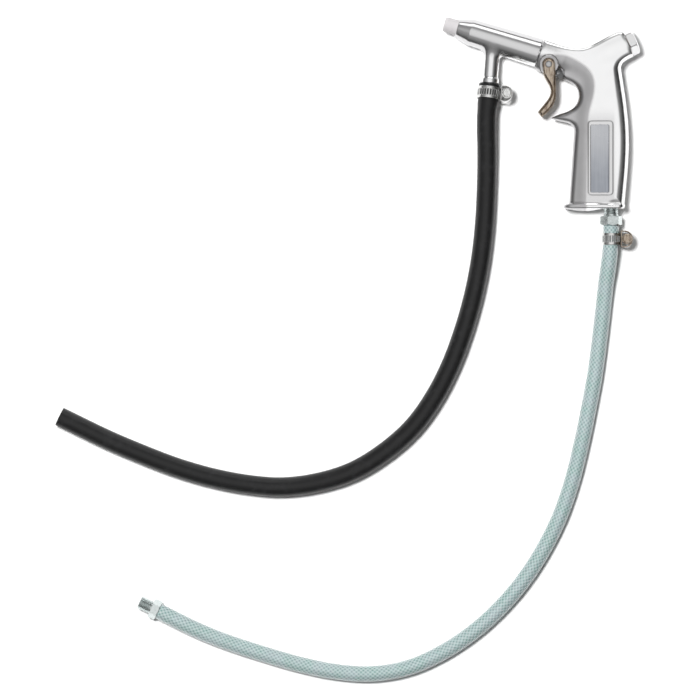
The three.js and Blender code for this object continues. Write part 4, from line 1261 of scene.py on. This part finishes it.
def clamp_pieces(name, station, side, at, lean, hose_radius, band_finish):
    """Band, housing and screw of one clamp. The record has the screw on a body of its own."""
    inner_band = hose_radius + 0.3
    points, faces, in_slot = band_points(inner_band)
    tilted = leaning(station, at, lean, -2.5 if lean else 0)
    band = make_piece(f"{name}_clamp_band", tilted(points), faces, finish=band_finish)
    carry(band, "slot", in_slot)
    inner = inner_band + CLAMP_THICK + 0.3
    points, faces = housing_points(side, inner)
    place = leaning(station, at, lean)
    housing = make_piece(f"{name}_clamp_housing", place(points), faces)
    points, faces = skin(screw_field, (-5.6, -5.6, -7.6), (5.6, 5.6, 13.2), 0.27)
    points = points + [side * (inner + HOUSING_DEEP / 2 - 0.8), 0, 0]
    return [band, housing, make_piece(f"{name}_clamp_screw", place(points), faces)]


SUCTION_CLAMP = clamp_pieces("suction", STUB, -1, 43.9 + 9.7, 7, 10.3, "band_on_rubber")
AIR_FITTINGS = [supply, *clamp_pieces("air", INLET, 1, -170.5, 0, 7.9, "band_on_vinyl")]

# %% [markdown]
# ## The table and the light
#
# The gun lies on a white table in a tent. The key lamp stands a little to the upper left, so
# the shadows fall softly to the lower right. A polished casting shows what is round it, so the
# tent matters as much as the lamps: it is white straight above, grey half way down and dark
# near the floor, and it dims towards the right. The dark rim is what draws a thin dark line
# inside every rounded edge. Matt surfaces get less light from the tent than mirrors do, so that
# it doesn't wash the shadows out, and the key lamp itself isn't seen in any mirror.

# %% Table
REACH, TABLE_LEVEL = 3.0, -0.0002
table_mesh = bpy.data.meshes.new("table")
table_mesh.from_pydata(
    [(REACH * side_x, REACH * side_y, TABLE_LEVEL) for side_x, side_y in ((-1, -1), (1, -1), (1, 1), (-1, 1))],
    [], [(0, 1, 2, 3)])
table_top = bpy.data.objects.new("table", table_mesh)
bpy.context.collection.objects.link(table_top)
table_material, _, table_shader = start_finish("white table", Roughness=0.9, Specular_IOR_Level=0.0)
table_shader.inputs["Base Color"].default_value = (0.93, 0.93, 0.93, 1)
table_mesh.materials.append(table_material)


# %% Tent and lamps
def white_tent(strength):
    """The world. Its brightness is a ramp of height, dimmed towards the right by a ramp of the
    direction's x. Only mirrors see it in full, so the shadows stay dark. Where the camera sees
    the world itself, it is plain white."""
    world = bpy.data.worlds.new("tent")
    bpy.context.scene.world = world
    world.use_nodes = True
    tree = world.node_tree
    tree.nodes.clear()
    way = add_node(tree, "SeparateXYZ", {0: add_node(tree, "TexCoord").outputs["Generated"]})
    by_height = add_node(tree, "ValToRGB", {0: way.outputs[2]})
    stops = by_height.color_ramp.elements
    for position, grey in ((0.25, 0.12), (0.5, 0.26), (0.80, 0.42), (0.93, 1.0)):
        stops.new(position).color = (grey, grey, grey, 1)
    stops[0].color, stops[-1].color = (0.10, 0.10, 0.10, 1), (1.05, 1.05, 1.05, 1)
    to_right = ramp(tree, way.outputs[0], 0.35, 0.85, 1.0, 0.35)
    backdrop = add_node(tree, "Background", {"Color": (1, 1, 1, 1), "Strength": 1.0}).outputs[0]
    paths = add_node(tree, "LightPath")
    in_mirrors = ramp(tree, paths.outputs["Is Glossy Ray"], 0, 1, 0.4, 1)
    level = math_node(tree, "MULTIPLY", math_node(tree, "MULTIPLY", to_right, in_mirrors), strength)
    tent = add_node(tree, "Background", {"Color": by_height.outputs[0], "Strength": level}).outputs[0]
    mixed = add_node(tree, "MixShader", {0: paths.outputs["Is Camera Ray"], 1: tent, 2: backdrop})
    tree.links.new(mixed.outputs[0], add_node(tree, "OutputWorld").inputs[0])


def lamp(name, place, aim, size, watts, mirrored=True):
    """A softbox that looks at a point of the table, and may be kept out of reflections."""
    light = bpy.data.lights.new(name, "AREA")
    light.shape, light.size, light.size_y, light.energy = "RECTANGLE", *size, watts
    made = bpy.data.objects.new(name, light)
    made.location = place
    made.rotation_euler = (Vector(aim) - Vector(place)).to_track_quat("-Z", "Y").to_euler()
    made.visible_glossy = mirrored
    bpy.context.collection.objects.link(made)


white_tent(1.0)
lamp("key", place=(-1.17, 0.67, 4.3), aim=(-0.15, -0.15, 0), size=(0.9, 0.9), watts=240, mirrored=False)
lamp("far strip", place=(0.2, 1.9, 0.9), aim=(0, 0, 0), size=(1.8, 0.9), watts=9)
bpy.context.scene.view_settings.view_transform = "Standard"

# %% [markdown]
# ## The end
#
# The hose ends and lines are converted to model coordinates last; the results are not kept.

# %% The end
to_model(SUCTION_START)
to_model(suction_line)
to_model(AIR_START)
to_model(air_line)
